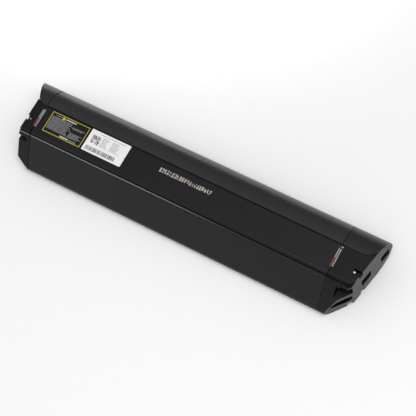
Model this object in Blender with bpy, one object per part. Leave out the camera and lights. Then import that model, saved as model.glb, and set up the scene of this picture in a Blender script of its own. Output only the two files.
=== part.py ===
"""Frame-integrated battery pack for an electric bicycle.

X runs along the pack, Y from the slanted near face to the half-round cover, Z up from the flat bottom.
Every size below is in millimetres and becomes metres when a mesh is made.
"""
import math

import bmesh
import bpy

MM = 0.001

# Driving dimensions of the pack's section
HEIGHT = 58.7
SEAM_Y = 16.2            # where the label face meets the cover
COVER_REACH = 33.0       # how far the half-round cover stands out past the seam
NEAR_LEAN = math.radians(31.3)
NEAR_POINT = (-50.1, 10.0)
FOOT_RADIUS = 9.0
SHOULDER = (-17.0, 53.7)  # centre of the rounded edge beside the groove
SHOULDER_RADIUS = 5.0
GROOVE_WIDTH = 1.6
GROOVE_DEPTH = 2.0
LIP_EDGE = (-23.9, 53.0)
LIP_CREASE = (-23.1, 52.5)
NEAR_TOP_Z = 52.0
INNER_CORNER = (-13.5, 50.0)  # Y on the ceiling and Z on the near wall of the inner chamfer
SEAM_GAP = 1.2

# Driving dimensions along the pack
LEFT_CAP_END = -214.5
LEFT_TOP_END = -212.8
COVER_TIP = (-228.0, 49.2)   # far corner of the left cover end
LEFT_COVER_SLANT = 0.545     # X lost for each unit of Y
END_CORNER = (228.0, 49.2)   # far corner of the right end face
END_SKEW = 0.1853
DIAGONAL_NEAR = (191.8, -50.7)
DIAGONAL_END = (215.0, -21.1)
LEFT_CUT = ((-214.5, -42.8), (-198.5, -50.3))
FLARE_START_RIGHT, FLARE_END_RIGHT, FLARE_RISE_RIGHT = 209.0, 223.5, 8.7
FLARE_START_LEFT, FLARE_END_LEFT, FLARE_RISE_LEFT = -202.0, -212.7, 5.0

# Walls and gaps
HOUSING_WALL = 2.2
COVER_WALL = 2.0
CAP_WALL = 2.4
END_WALL = 3.0
LEFT_END_WALL = 6.0
TOUCH_GAP = 0.3
TONGUE_LENGTH = 6.0       # the cover's tongues reach this far under the housing
TONGUE = (HOUSING_WALL + 0.2, HOUSING_WALL + 1.4)
SEAM_STRIP_HEIGHT = (0.8, 2.2)
SEAM_STRIP_GAP = 0.1
GASKET_WINDOW = HOUSING_WALL + 0.1
CORNER_RADIUS = 5.6       # the label face's corner at the right end
CORNER_FLOOR = 53.0
RIM_RELIEF = 1.2
OVERSHOOT = 5.0           # how far a cutter stands out of what it cuts
LEFT_JOINT = (-199.9, -198.6)   # cap face and housing face
RIGHT_JOINT = (184.4, 185.2)    # housing face and cap face

# Screws: Y, Z of the axis, seat X in the left cap, seat X in the right cap
SCREWS = (
    (-5.1, 54.1, -206.9, 208.7),
    (-23.2, 46.5, -203.6, 199.0),
    (-23.8, 4.4, -206.9, 204.0),
    (-5.2, 4.4, -206.9, 212.0),
)
SCREW_RADIUS, SCREW_HOLE, HEAD_RADIUS, HEAD_HEIGHT = 1.5, 1.65, 2.8, 2.5
BOSS_RADIUS = 2.8
SCREW_TIPS = (-186.0, 172.0)
LEFT, RIGHT = 2, 3        # where each cap's seats stand in a row of SCREWS
CHANNEL_HALF = 3.2
SEAT_GAP = 0.15
SOCKET_RADIUS, SOCKET_DEPTH = 1.4, 1.3
TOWER_HALF = 5.5          # solid material round the screws inside the caps
TOWER_TOP, TOWER_BOTTOM, TOWER_NEAR = 50.2, 8.6, 42.6

# Cells
PITCH = 18.6
CELL_FLAT = 9.35          # centre to flat of a cell, so that neighbours just join
CELL_LENGTH = 65.0
BLOCKS = 5
ROW_STEP = PITCH * math.sin(math.radians(60))
ROWS = ((-1, (-33.1, -14.5, 4.1, 22.7)), (0, (-23.8, -5.2, 13.4, 32.0)), (1, (4.1, 22.7)))
CELLS = [(y, HEIGHT / 2 + row * ROW_STEP) for row, columns in ROWS for y in columns]
DUCT = (-14.5, HEIGHT / 2 + ROW_STEP)
HOLDER_THICKNESS = 2.2
HOLDER_INSET = 3.9
HOLDER_WINDOW = 6.0
HOLDER_DUCT = 5.2
SHEET_GAP = 0.3
SHEET_THICKNESS = 0.3
CELLS_START = -171.5
SLICE = HOLDER_THICKNESS + SHEET_THICKNESS + CELL_LENGTH + 0.8
SHEET_OUTLINE = ((-36, 8.5), (26, 8.5), (36, 24), (36, 34), (26, 50), (0, 50), (-4, 36), (-26, 34))

# Electronics, as opposite corners
BOARD = ((-181.0, -26.0, 9.0), (-179.4, 32.0, 42.0))
TRANSISTORS = ((-183.4, 24.0), (-180.6, 33.0))  # X and Z of the row on the board
TRANSISTOR_PLACES = (-20.0, -10.0, 0.0, 10.0, 20.0)
TRANSISTOR_WIDTH = 7.0
CONNECTOR = ((-179.8, -8.0, 12.0), (-175.2, 12.0, 19.0))
HEAT_PLATE = ((-185.5, -24.0, 11.0), (-183.8, 30.0, 40.0))
FOAM = ((174.2, -28.0, 10.0), (183.0, 30.0, 38.0))
FUSE_PLACE, SENSOR_PLACE = (24.0, 42.0), (22.0, 48.0)
FUSE_PROFILE = ((-198, 0), (-198, 3.2), (-196, 3.2), (-195.6, 2.7), (-190.4, 2.7), (-190, 3.2), (-188, 3.2),
                (-188, 0))
SENSOR_PROFILE = ((-177.5, 0), (-177.5, 1.2), (-176.5, 1.8), (-174.5, 1.8), (-173.5, 1.0), (-173.5, 0))
LEAD_RADIUS, HARNESS_RADIUS = 1.7, 1.9
LEADS_START, LEAD_BEND, HARNESS_END = -178.8, 175.0, 168.0
HARNESS_Z = 48.0
LEAD_PLACES = {"positive": (-12.1, 43.8), "negative": (-16.9, 43.8)}
LEAD_KNOTS = {
    "positive": ((183.0, -11.5, 41.5), (189.0, -6.5, 36.0), (194.5, 0.0, 29.5), (197.5, 2.7, 27.4),
                 (199.6, 2.85, 27.2)),
    "negative": ((184.5, -15.0, 46.0), (190.5, -9.0, 47.0), (196.0, 6.0, 46.5), (199.5, 20.0, 42.0),
                 (201.5, 31.0, 33.0), (203.4, 35.2, 27.4), (205.6, 35.6, 26.6)),
}

# Left end face: charge port, power button and gauge
PORT = (2.0, 28.0)
POCKET_FLOOR = -211.9
SOCKET_PROFILE = ((-196.5, 0), (-196.5, 7.5), (-206.3, 7.5), (-206.3, 10.0), (-208.2, 10.0), (-208.2, 7.5),
                  (-211.9, 7.5), (-211.9, 5.2), (-199.9, 5.2), (-199.9, 0))
PIN_PROFILE = ((-200.2, 0), (-200.2, 1.0), (-204.2, 1.0), (-205.0, 0.5), (-205.0, 0))
HINGE = (-213.3, 13.2)
FLAP_HALF_HEIGHT, FLAP_NEAR, FLAP_FAR = 9.9, 10.4, 1.6
POCKET_MARGIN = 0.5
BARREL_RADIUS, BARREL_HALF = 1.1, 7.0
PIN_RADIUS, PIN_HALF, PIN_GAP = 0.5, 11.8, 0.1
PLUG_RADIUS, PLUG_LENGTH = 4.4, 1.5
BUTTON = (-24.0, 30.0)
BUTTON_RADIUS = 5.0
BUTTON_GAP = 0.3
PROUD = 0.2               # how far button and lens stay below the end face
GAUGE = ((-33.0, 13.0), (-15.0, 16.0))
GAUGE_BOARD = ((-34.0, 10.0), (-13.0, 10.0), (-13.0, 36.5), (-30.0, 36.5), (-34.0, 29.5))
GAUGE_BOARD_X, GAUGE_SWITCH_X = (-203.2, -201.6), (-203.7, -203.0)

# Right end face: sockets, lock slot
SOCKET_NEAR = ((-4.3, 22.4), (10.0, 32.0))
SOCKET_FAR = ((29.5, 22.2), (41.7, 30.9))
TERMINALS = {
    "positive": ((200.0, -7.4, 19.0), (213.6, 13.2, 35.4)),
    "negative": ((206.0, 26.8, 20.4), (219.8, 43.9, 33.4)),
}
TERMINAL_LEGS = {
    "positive": ((200.0, 3.0, 2.8), (208.0, 12.0, 20.0)),
    "negative": ((206.0, 27.6, 8.5), (214.0, 35.0, 21.0)),
}
TERMINAL_BACK = 2.0
CONTACT_GAP, CONTACT_LENGTH, CONTACT_HALF = 0.4, 6.0, 3.0
LOCK_SLOT = ((1.2, 25.8), (1.2, 18.6), (3.5, 15.6), (8.6, 14.2), (24.5, 16.0), (27.4, 17.2), (27.0, 18.8),
             (20.0, 24.9), (8.2, 26.0))
LOCK_SLOT_DEPTH = 7.0
SCOOP_LOW, SCOOP_HIGH = (198.7, -60.0, 34.4), (213.8, -20.2, 50.8)

# Printed pieces on the label face
LABEL_LIFT, LABEL_THICKNESS = 0.05, 0.2
LABELS = (
    ("notice_label", (-188.2, -12.9), (-136.7, 14.5)),
    ("rating_label", (-134.2, -12.8), (-82.0, 15.3)),
    ("seal_sticker_left", (-201.3, -12.6), (-196.1, 11.7)),
    ("seal_sticker_right", (182.7, -11.4), (188.0, 14.9)),
)

# Fineness of round shapes
ARC_STEPS_COVER = 28
HOLE_SIDES = 12
TURNED_SIDES = 24


# ---------------------------------------------------------------- helpers

def clear_scene():
    for item in list(bpy.data.objects):
        bpy.data.objects.remove(item, do_unlink=True)


def material(name, colour, roughness, metallic=0.0):
    made = bpy.data.materials.new(name)
    made.use_nodes = True
    shader = made.node_tree.nodes["Principled BSDF"]
    shader.inputs["Base Color"].default_value = (*colour, 1.0)
    shader.inputs["Roughness"].default_value = roughness
    shader.inputs["Metallic"].default_value = metallic
    return made


def new_object(name, verts, faces, mat=None):
    """An object from vertices in millimetres, with its faces turned outwards."""
    mesh = bpy.data.meshes.new(name)
    work = bmesh.new()
    made = [work.verts.new([value * MM for value in vert]) for vert in verts]
    for face in faces:
        work.faces.new([made[index] for index in face])
    bmesh.ops.recalc_face_normals(work, faces=work.faces[:])
    work.to_mesh(mesh)
    work.free()
    if mat:
        mesh.materials.append(mat)
    item = bpy.data.objects.new(name, mesh)
    bpy.context.scene.collection.objects.link(item)
    return item


def prism_data(outline, low, high, axis):
    """Vertices and faces of a flat outline drawn out along an axis."""
    place = {
        "x": lambda u, v, w: (w, u, v),
        "y": lambda u, v, w: (u, w, v),
        "z": lambda u, v, w: (u, v, w),
    }[axis]
    count = len(outline)
    verts = [place(u, v, w) for w in (low, high) for u, v in outline]
    faces = [list(range(count)), list(range(count, 2 * count))]
    for index in range(count):
        after = (index + 1) % count
        faces.append([index, after, count + after, count + index])
    return verts, faces


def prism(name, outline, low, high, axis, mat=None):
    return new_object(name, *prism_data(outline, low, high, axis), mat)


def gather(name, parts, mat=None):
    """Several closed shapes in one mesh, for cutting or joining in one go."""
    verts, faces = [], []
    for part_verts, part_faces in parts:
        start = len(verts)
        verts += part_verts
        faces += [[start + index for index in face] for face in part_faces]
    return new_object(name, verts, faces, mat)


def rectangle(low, high):
    return [(low[0], low[1]), (high[0], low[1]), (high[0], high[1]), (low[0], high[1])]


def box_data(low, high):
    return prism_data(rectangle(low[:2], high[:2]), low[2], high[2], "z")


def box(name, low, high, mat=None):
    return new_object(name, *box_data(low, high), mat)


def arc(centre, radii, start, end, steps):
    """Points on an elliptical arc, angles in degrees."""
    points = []
    for step in range(steps + 1):
        angle = math.radians(start + (end - start) * step / steps)
        points.append((centre[0] + radii[0] * math.cos(angle), centre[1] + radii[1] * math.sin(angle)))
    return points


def ring(centre, radius, sides, turn=0.0):
    points = arc(centre, (radius, radius), turn, turn + 360.0, sides)
    return points[:-1]


def lathe(name, profile, centre, sides, mat=None):
    """A turned piece about a line along X through (Y, Z); the profile is (X, radius) from tip to tip."""
    verts, rings = [], []
    for x, radius in profile:
        if radius == 0.0:
            rings.append([len(verts)])
            verts.append((x, centre[0], centre[1]))
            continue
        rings.append(list(range(len(verts), len(verts) + sides)))
        verts += [(x, y, z) for y, z in ring(centre, radius, sides, 180.0 / sides)]
    faces = []
    for first, second in zip(rings, rings[1:]):
        for side in range(sides):
            after = (side + 1) % sides
            corners = [first[side % len(first)], first[after % len(first)],
                       second[after % len(second)], second[side % len(second)]]
            faces.append(list(dict.fromkeys(corners)))
    return new_object(name, verts, faces, mat)


def combine(target, tool, operation):
    """Cut, join or keep the overlap with a tool that is itself left out of the model."""
    tool.hide_render = True
    tool.display_type = "WIRE"
    step = target.modifiers.new(tool.name, "BOOLEAN")
    step.operation = operation
    step.solver = "EXACT"
    step.object = tool
    return step


def cut(target, tool):
    combine(target, tool, "DIFFERENCE")


def join(target, tool):
    combine(target, tool, "UNION")


def keep(target, tool):
    combine(target, tool, "INTERSECT")


def smooth(item, degrees=30.0):
    item.data.shade_smooth()
    item.data.set_sharp_from_angle(angle=math.radians(degrees))


def tube(name, points, radius, mat):
    """A cable inside the pack, as a smooth run through hand-placed points."""
    curve = bpy.data.curves.new(name, "CURVE")
    curve.dimensions = "3D"
    curve.bevel_depth = radius * MM
    curve.bevel_resolution = 1
    curve.use_fill_caps = True
    spline = curve.splines.new("POLY")
    spline.points.add(len(points) - 1)
    for slot, point in zip(spline.points, points):
        slot.co = (point[0] * MM, point[1] * MM, point[2] * MM, 1.0)
    curve.materials.append(mat)
    item = bpy.data.objects.new(name, curve)
    bpy.context.scene.collection.objects.link(item)
    return item


def spline_points(knots, steps):
    """Catmull-Rom points through the knots."""
    padded = [knots[0]] + list(knots) + [knots[-1]]
    points = []
    for a, b, c, d in zip(padded, padded[1:], padded[2:], padded[3:]):
        for step in range(steps):
            t = step / steps
            points.append(tuple(
                0.5 * (2 * q + (r - p) * t + (2 * p - 5 * q + 4 * r - s) * t * t
                       + (3 * q - p - 3 * r + s) * t ** 3)
                for p, q, r, s in zip(a, b, c, d)))
    return points + [knots[-1]]


# ---------------------------------------------------------------- sections and plans

def near_face_y(z, inset=0.0):
    return NEAR_POINT[0] + (z - NEAR_POINT[1]) * math.tan(NEAR_LEAN) + inset / math.cos(NEAR_LEAN)


def groove_points():
    """The rounded shoulder, the groove cut into it and the bright lip below."""
    shoulder = arc(SHOULDER, (SHOULDER_RADIUS, SHOULDER_RADIUS), 90, 150, 5)
    mouth_y, mouth_z = shoulder[-1]
    inward = (math.cos(math.radians(-30)), math.sin(math.radians(-30)))
    along = (inward[1], -inward[0])
    floor_top = (mouth_y + GROOVE_DEPTH * inward[0], mouth_z + GROOVE_DEPTH * inward[1])
    floor_low = (floor_top[0] + GROOVE_WIDTH * along[0], floor_top[1] + GROOVE_WIDTH * along[1])
    mouth_low = (mouth_y + GROOVE_WIDTH * along[0], mouth_z + GROOVE_WIDTH * along[1])
    return shoulder + [floor_top, floor_low, mouth_low, LIP_EDGE, LIP_CREASE,
                       (near_face_y(NEAR_TOP_Z), NEAR_TOP_Z)]


def near_outline(inset=0.0):
    """From the ceiling round the near side to the floor."""
    if inset:
        ceiling_y, wall_z = INNER_CORNER
        points = [(ceiling_y, HEIGHT - inset), (near_face_y(wall_z, inset), wall_z)]
    else:
        points = groove_points()
    foot = (near_face_y(FOOT_RADIUS) + FOOT_RADIUS / math.cos(NEAR_LEAN), FOOT_RADIUS)
    radius = FOOT_RADIUS - inset
    return points + arc(foot, (radius, radius), 180 - math.degrees(NEAR_LEAN), 270, 6)


def cover_arc(inset=0.0, limit=90.0, steps=ARC_STEPS_COVER):
    """From the floor round the far side to the ceiling."""
    radii = (COVER_REACH - inset, HEIGHT / 2 - inset)
    return arc((SEAM_Y, HEIGHT / 2), radii, -limit, limit, steps)


def full_section(inset=0.0):
    return near_outline(inset) + cover_arc(inset)


def right_end_x(y):
    return END_CORNER[0] - (END_CORNER[1] - y) * END_SKEW


def left_cover_x(y):
    return COVER_TIP[0] + (COVER_TIP[1] - y) * LEFT_COVER_SLANT


def flare(start, end, rise, steps=8):
    """The seam's line in plan over a cap, swinging away from the pack's near side."""
    points = []
    for step in range(steps + 1):
        t = step / steps
        points.append((start + (end - start) * t, SEAM_Y + rise * t * t))
    return points


def shifted(points, gap):
    return [(x, y + gap) for x, y in points]


# ---------------------------------------------------------------- shell

def build_housing(mat):
    edge = SEAM_Y - SEAM_GAP / 2
    outline = [(edge, HEIGHT)] + near_outline() + [(edge, 0.0), (edge, HOUSING_WALL)]
    outline += list(reversed(near_outline(HOUSING_WALL))) + [(edge, HEIGHT - HOUSING_WALL)]
    low, high = LEFT_JOINT[1], RIGHT_JOINT[0]
    housing = prism("housing", outline, low, high, "x", mat)
    bosses = [prism_data(ring((y, z), BOSS_RADIUS, HOLE_SIDES), low, high, "x") for y, z, _, _ in SCREWS]
    join(housing, gather("housing_bosses", bosses))
    holes = []
    for y, z, _, _ in SCREWS:
        hole = ring((y, z), SCREW_HOLE, HOLE_SIDES)
        holes.append(prism_data(hole, low - 1, SCREW_TIPS[0] + 1, "x"))
        holes.append(prism_data(hole, SCREW_TIPS[1] - 1, high + 1, "x"))
    cut(housing, gather("housing_screw_holes", holes))
    smooth(housing)


def build_side_cover(mat):
    edge = SEAM_Y + SEAM_GAP / 2
    tongue_y = SEAM_Y - TONGUE_LENGTH
    tongue_low, tongue_high = TONGUE
    limit = math.degrees(math.asin((HEIGHT / 2 - tongue_high) / (HEIGHT / 2 - COVER_WALL)))
    outer = [(edge, 0.0)] + cover_arc(0.0, 87.0) + [(edge, HEIGHT)]
    upper = [(edge, HEIGHT - tongue_low), (tongue_y, HEIGHT - tongue_low), (tongue_y, HEIGHT - tongue_high)]
    inner = list(reversed(cover_arc(COVER_WALL, limit, 16)))
    lower = [(tongue_y, tongue_high), (tongue_y, tongue_low), (edge, tongue_low)]
    cover = prism("side_cover", outer + upper + inner + lower, LEFT_JOINT[1], RIGHT_JOINT[0], "x", mat)
    smooth(cover)


def build_seam_strips(mat):
    half = SEAM_GAP / 2 - SEAM_STRIP_GAP
    bottom, top = SEAM_STRIP_HEIGHT
    for name, low, high in (("seam_strip_bottom", bottom, top),
                            ("seam_strip_top", HEIGHT - top, HEIGHT - bottom)):
        outline = rectangle((SEAM_Y - half, low), (SEAM_Y + half, high))
        prism(name, outline, LEFT_JOINT[1], RIGHT_JOINT[0], "x", mat)


def build_gasket(name, low, high, inset, mat):
    gasket = prism(name, full_section(inset), low, high, "x", mat)
    cut(gasket, prism(name + "_window", full_section(GASKET_WINDOW), low - 1, high + 1, "x"))


def screw_channels(side):
    """The open notches that the screw heads sit in, cut in from the end of a cap."""
    reach = COVER_TIP[0] - OVERSHOOT if side == LEFT else END_CORNER[0] + OVERSHOOT
    channels = []
    for index, screw in enumerate(SCREWS):
        y, z, seat = screw[0], screw[1], screw[side]
        if index == 0:
            low_z, high_z = z - CHANNEL_HALF, HEIGHT + 2
        elif index == 1:
            low_z, high_z = z - CHANNEL_HALF, z + CHANNEL_HALF
        else:
            low_z, high_z = -2.0, z + CHANNEL_HALF
        low_y = -60.0 if index == 1 else y - CHANNEL_HALF
        low_x, high_x = sorted((seat, reach))
        channels.append(((low_x, low_y, low_z), (high_x, y + CHANNEL_HALF, high_z)))
    return channels


def screw_holes(low, high):
    return [prism_data(ring(screw[:2], SCREW_HOLE, HOLE_SIDES), low, high, "x") for screw in SCREWS]


def build_end_cap_right(mat):
    start = RIGHT_JOINT[1]
    beyond = END_CORNER[0] + OVERSHOOT
    seam = shifted(flare(FLARE_START_RIGHT, FLARE_END_RIGHT, FLARE_RISE_RIGHT), -SEAM_GAP / 2)
    slope = (DIAGONAL_END[0] - DIAGONAL_NEAR[0]) / (DIAGONAL_END[1] - DIAGONAL_NEAR[1])
    near_y = DIAGONAL_NEAR[1] - OVERSHOOT
    plan = [(start, near_y), (DIAGONAL_NEAR[0] - OVERSHOOT * slope, near_y)]
    plan += [(right_end_x(DIAGONAL_END[1]), DIAGONAL_END[1]), (right_end_x(seam[-1][1]), seam[-1][1])]
    plan += list(reversed(seam[:-1])) + [(start, SEAM_Y - SEAM_GAP / 2)]
    cap = prism("end_cap_right", full_section(), start, beyond, "x", mat)
    keep(cap, prism("cap_right_plan", plan, -OVERSHOOT, HEIGHT + OVERSHOOT, "z"))

    # The end plate reaches across into the cover's end
    plate = prism("cap_right_plate", full_section(CAP_WALL + TOUCH_GAP), start, beyond, "x")
    plate_plan = [(right_end_x(-10) - END_WALL, -10), (right_end_x(-10), -10), (right_end_x(60), 60),
                  (right_end_x(60) - END_WALL, 60)]
    keep(plate, prism("cap_right_plate_plan", plate_plan, -OVERSHOOT, HEIGHT + OVERSHOOT, "z"))
    join(cap, plate)

    # Hollow behind the end wall, except where the screws run through
    hollow = prism("cap_right_hollow", full_section(CAP_WALL), start - OVERSHOOT, beyond, "x")
    hollow_plan = [(start - 4, -60), (start + 4.6, -60), (start + 4.6, -15), (right_end_x(-15) - END_WALL, -15),
                   (right_end_x(60) - END_WALL, 60), (start - 4, 60)]
    keep(hollow, prism("cap_right_hollow_plan", hollow_plan, -6, HEIGHT + 6, "z"))
    towers = [box_data((start - 2 * OVERSHOOT, y - TOWER_HALF, low), (beyond + OVERSHOOT, y + TOWER_HALF, high))
              for y, low, high in ((SCREWS[0][0], TOWER_TOP, HEIGHT + 8), (SCREWS[3][0], -8, TOWER_BOTTOM))]
    cut(hollow, gather("cap_right_towers", towers))
    cut(cap, hollow)

    # Sockets, screw notches, the pocket under the lip and the lock slot
    openings = [box_data((200, low[0], low[1]), (END_CORNER[0] + 8, high[0], high[1]))
                for low, high in (SOCKET_NEAR, SOCKET_FAR)]
    openings.append(box_data(SCOOP_LOW, SCOOP_HIGH))
    openings += [box_data(*channel) for index, channel in enumerate(screw_channels(RIGHT)) if index != 1]
    cut(cap, gather("cap_right_openings", openings))
    cut(cap, gather("cap_right_screw_holes", screw_holes(start - 2, SCREWS[3][RIGHT] + 2)))
    run = math.dist(DIAGONAL_END, DIAGONAL_NEAR)
    along = [(near - end) / run for near, end in zip(DIAGONAL_NEAR, DIAGONAL_END)]
    inward = (along[1], -along[0])
    verts = [(DIAGONAL_END[0] + s * along[0] + depth * inward[0],
              DIAGONAL_END[1] + s * along[1] + depth * inward[1], z)
             for depth in (-2.0, LOCK_SLOT_DEPTH) for s, z in LOCK_SLOT]
    cut(cap, new_object("cap_right_lock_slot", verts, prism_data(LOCK_SLOT, 0, 1, "z")[1]))

    # The label face's near corner is rounded and the plate's rim is relieved at three places
    corner = (right_end_x(-17.5) - 6.0, -17.5)
    outside = 2 * CORNER_RADIUS + 0.8
    rounding = [(corner[0] + outside, corner[1])] + arc(corner, (CORNER_RADIUS, CORNER_RADIUS), 0, -90, 8)
    rounding += [(corner[0], corner[1] - outside), (corner[0] + outside, corner[1] - outside)]
    cut(cap, prism("cap_right_corner", rounding, CORNER_FLOOR, HEIGHT + 3, "z"))
    reliefs = []
    middle = (SEAM_Y, HEIGHT / 2)
    margin = CAP_WALL + RIM_RELIEF / 2
    reach = (COVER_REACH - margin, HEIGHT / 2 - margin)
    for angle in (46.0, -46.0):
        inner = arc(middle, reach, angle - 5, angle + 5, 3)
        outer = arc(middle, (reach[0] + RIM_RELIEF, reach[1] + RIM_RELIEF), angle + 5, angle - 5, 3)
        reliefs.append(prism_data(inner + outer, 215, END_CORNER[0] + 8, "x"))
    reliefs.append(box_data((215, 18.0, 2.0), (END_CORNER[0] + 8, 29.6, 4.4)))
    cut(cap, gather("cap_right_reliefs", reliefs))
    smooth(cap)


def build_end_cap_left(mat):
    start = LEFT_JOINT[0]
    seam = shifted(flare(FLARE_START_LEFT, FLARE_END_LEFT, FLARE_RISE_LEFT), -SEAM_GAP / 2)
    (cut_end_x, cut_end_y), (cut_seam_x, cut_seam_y) = LEFT_CUT
    slope = (cut_seam_x - cut_end_x) / (cut_seam_y - cut_end_y)
    plan = [(start, SEAM_Y - SEAM_GAP / 2)] + seam + [(LEFT_CAP_END, seam[-1][1]), (LEFT_CAP_END, cut_end_y)]
    plan += [(start, cut_end_y + (start - cut_end_x) / slope)]
    cap = prism("end_cap_left", full_section(), LEFT_CAP_END - OVERSHOOT, start, "x", mat)
    keep(cap, prism("cap_left_plan", plan, -OVERSHOOT, HEIGHT + OVERSHOOT, "z"))
    top_edge = [(LEFT_CAP_END - 3, 44), (LEFT_CAP_END, 46), (LEFT_CAP_END + 0.4, 53), (LEFT_TOP_END, HEIGHT),
                (LEFT_TOP_END, HEIGHT + 3), (LEFT_CAP_END - 3, HEIGHT + 3)]
    cut(cap, prism("cap_left_top_edge", top_edge, -60, 60, "y"))

    inside_x = LEFT_CAP_END + LEFT_END_WALL
    hollow = prism("cap_left_hollow", full_section(CAP_WALL), inside_x, start + OVERSHOOT, "x")
    tower_x = (LEFT_CAP_END - 1, start + 2 * OVERSHOOT)
    towers = [box_data((tower_x[0], low_y, low_z), (tower_x[1], high_y, high_z))
              for low_y, high_y, low_z, high_z in (
                  (SCREWS[0][0] - TOWER_HALF, SCREWS[0][0] + TOWER_HALF, TOWER_TOP, HEIGHT + 8),
                  (SCREWS[2][0] - TOWER_HALF, SCREWS[3][0] + TOWER_HALF, -8, TOWER_BOTTOM),
                  (-60, SCREWS[1][0] + 5.0, TOWER_NEAR, HEIGHT + 9))]
    cut(hollow, gather("cap_left_towers", towers))
    cut(cap, hollow)

    openings = [box_data(*channel) for channel in screw_channels(LEFT)]
    cut(cap, gather("cap_left_channels", openings))
    cut(cap, gather("cap_left_screw_holes", screw_holes(SCREWS[0][LEFT] - 2, start + 2)))

    port_y, port_z = PORT
    half = FLAP_HALF_HEIGHT + POCKET_MARGIN
    pocket = rectangle((port_y - FLAP_NEAR - POCKET_MARGIN, port_z - half), (HINGE[1] + 1.8, port_z + half))
    cut(cap, prism("cap_left_pocket", pocket, LEFT_CAP_END - 3, POCKET_FLOOR, "x"))
    (low_y, low_z), (high_y, high_z) = GAUGE
    outlines = (ring(PORT, 7.75, TURNED_SIDES), ring(BUTTON, BUTTON_RADIUS + BUTTON_GAP, TURNED_SIDES),
                rectangle((low_y - TOUCH_GAP, low_z - TOUCH_GAP), (high_y + TOUCH_GAP, high_z + TOUCH_GAP)))
    openings = [prism_data(outline, LEFT_CAP_END - 2, LEFT_CAP_END + 9, "x") for outline in outlines]
    cut(cap, gather("cap_left_openings", openings))
    hole_half = PIN_HALF + 0.4
    cut(cap, prism("cap_left_pin_hole", ring(HINGE, PIN_RADIUS + 0.12, 10), port_z - hole_half,
                   port_z + hole_half, "z"))
    smooth(cap)


def build_cover_end_right(mat):
    start = RIGHT_JOINT[1]
    seam = shifted(flare(FLARE_START_RIGHT, FLARE_END_RIGHT, FLARE_RISE_RIGHT), SEAM_GAP / 2)
    plan = [(start, SEAM_Y + SEAM_GAP / 2)] + seam[:-1] + [(right_end_x(seam[-1][1]), seam[-1][1]),
                                                          (right_end_x(60), 60), (start, 60)]
    piece = prism("cover_end_right", full_section(), start, END_CORNER[0] + OVERSHOOT, "x", mat)
    keep(piece, prism("cover_right_plan", plan, -OVERSHOOT, HEIGHT + OVERSHOOT, "z"))
    cut(piece, prism("cover_right_bore", full_section(CAP_WALL), start - 3, END_CORNER[0] + 9, "x"))
    smooth(piece)


def build_cover_end_left(mat):
    start = LEFT_JOINT[0]
    seam = shifted(flare(FLARE_START_LEFT, FLARE_END_LEFT, FLARE_RISE_LEFT), SEAM_GAP / 2)
    plan = [(start, SEAM_Y + SEAM_GAP / 2)] + seam + [(left_cover_x(60), 60), (start, 60)]
    piece = prism("cover_end_left", full_section(), COVER_TIP[0] - 9, start, "x", mat)
    keep(piece, prism("cover_left_plan", plan, -OVERSHOOT, HEIGHT + OVERSHOOT, "z"))
    hollow = prism("cover_left_hollow", full_section(CAP_WALL), COVER_TIP[0] - 9, start + 3, "x")
    wall = END_WALL * 1.14
    hollow_plan = [(start + 2, 14), (left_cover_x(14) + wall, 14), (left_cover_x(60) + wall, 60),
                   (start + 2, 60)]
    keep(hollow, prism("cover_left_hollow_plan", hollow_plan, -6, HEIGHT + 6, "z"))
    cut(piece, hollow)
    smooth(piece)


def build_screws(mat):
    """Socket-head screws, named for the cap that they hold."""
    for side, word, outward in ((LEFT, "left", -1), (RIGHT, "right", 1)):
        tip = SCREW_TIPS[side - LEFT]
        for number, screw in enumerate(SCREWS, start=1):
            seat = screw[side] + outward * SEAT_GAP
            head = seat + outward * HEAD_HEIGHT
            profile = [(tip, 0.0), (tip, 1.1), (tip + outward * 0.8, SCREW_RADIUS), (seat, SCREW_RADIUS),
                       (seat, HEAD_RADIUS), (head - outward * 0.5, HEAD_RADIUS),
                       (head, HEAD_RADIUS - 0.5), (head, SOCKET_RADIUS),
                       (head - outward * SOCKET_DEPTH, SOCKET_RADIUS), (head - outward * SOCKET_DEPTH, 0.0)]
            smooth(lathe(f"cap_screw_{word}_{number}", profile, screw[:2], HOLE_SIDES, mat))


def build_labels(film, paper, seal):
    """Thin printed pieces that lie on the label face."""
    low = HEIGHT + LABEL_LIFT
    for (name, corner, opposite), mat in zip(LABELS, (film, paper, seal, seal)):
        prism(name, rectangle(corner, opposite), low, low + LABEL_THICKNESS, "z", mat)


# ---------------------------------------------------------------- inside

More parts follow.
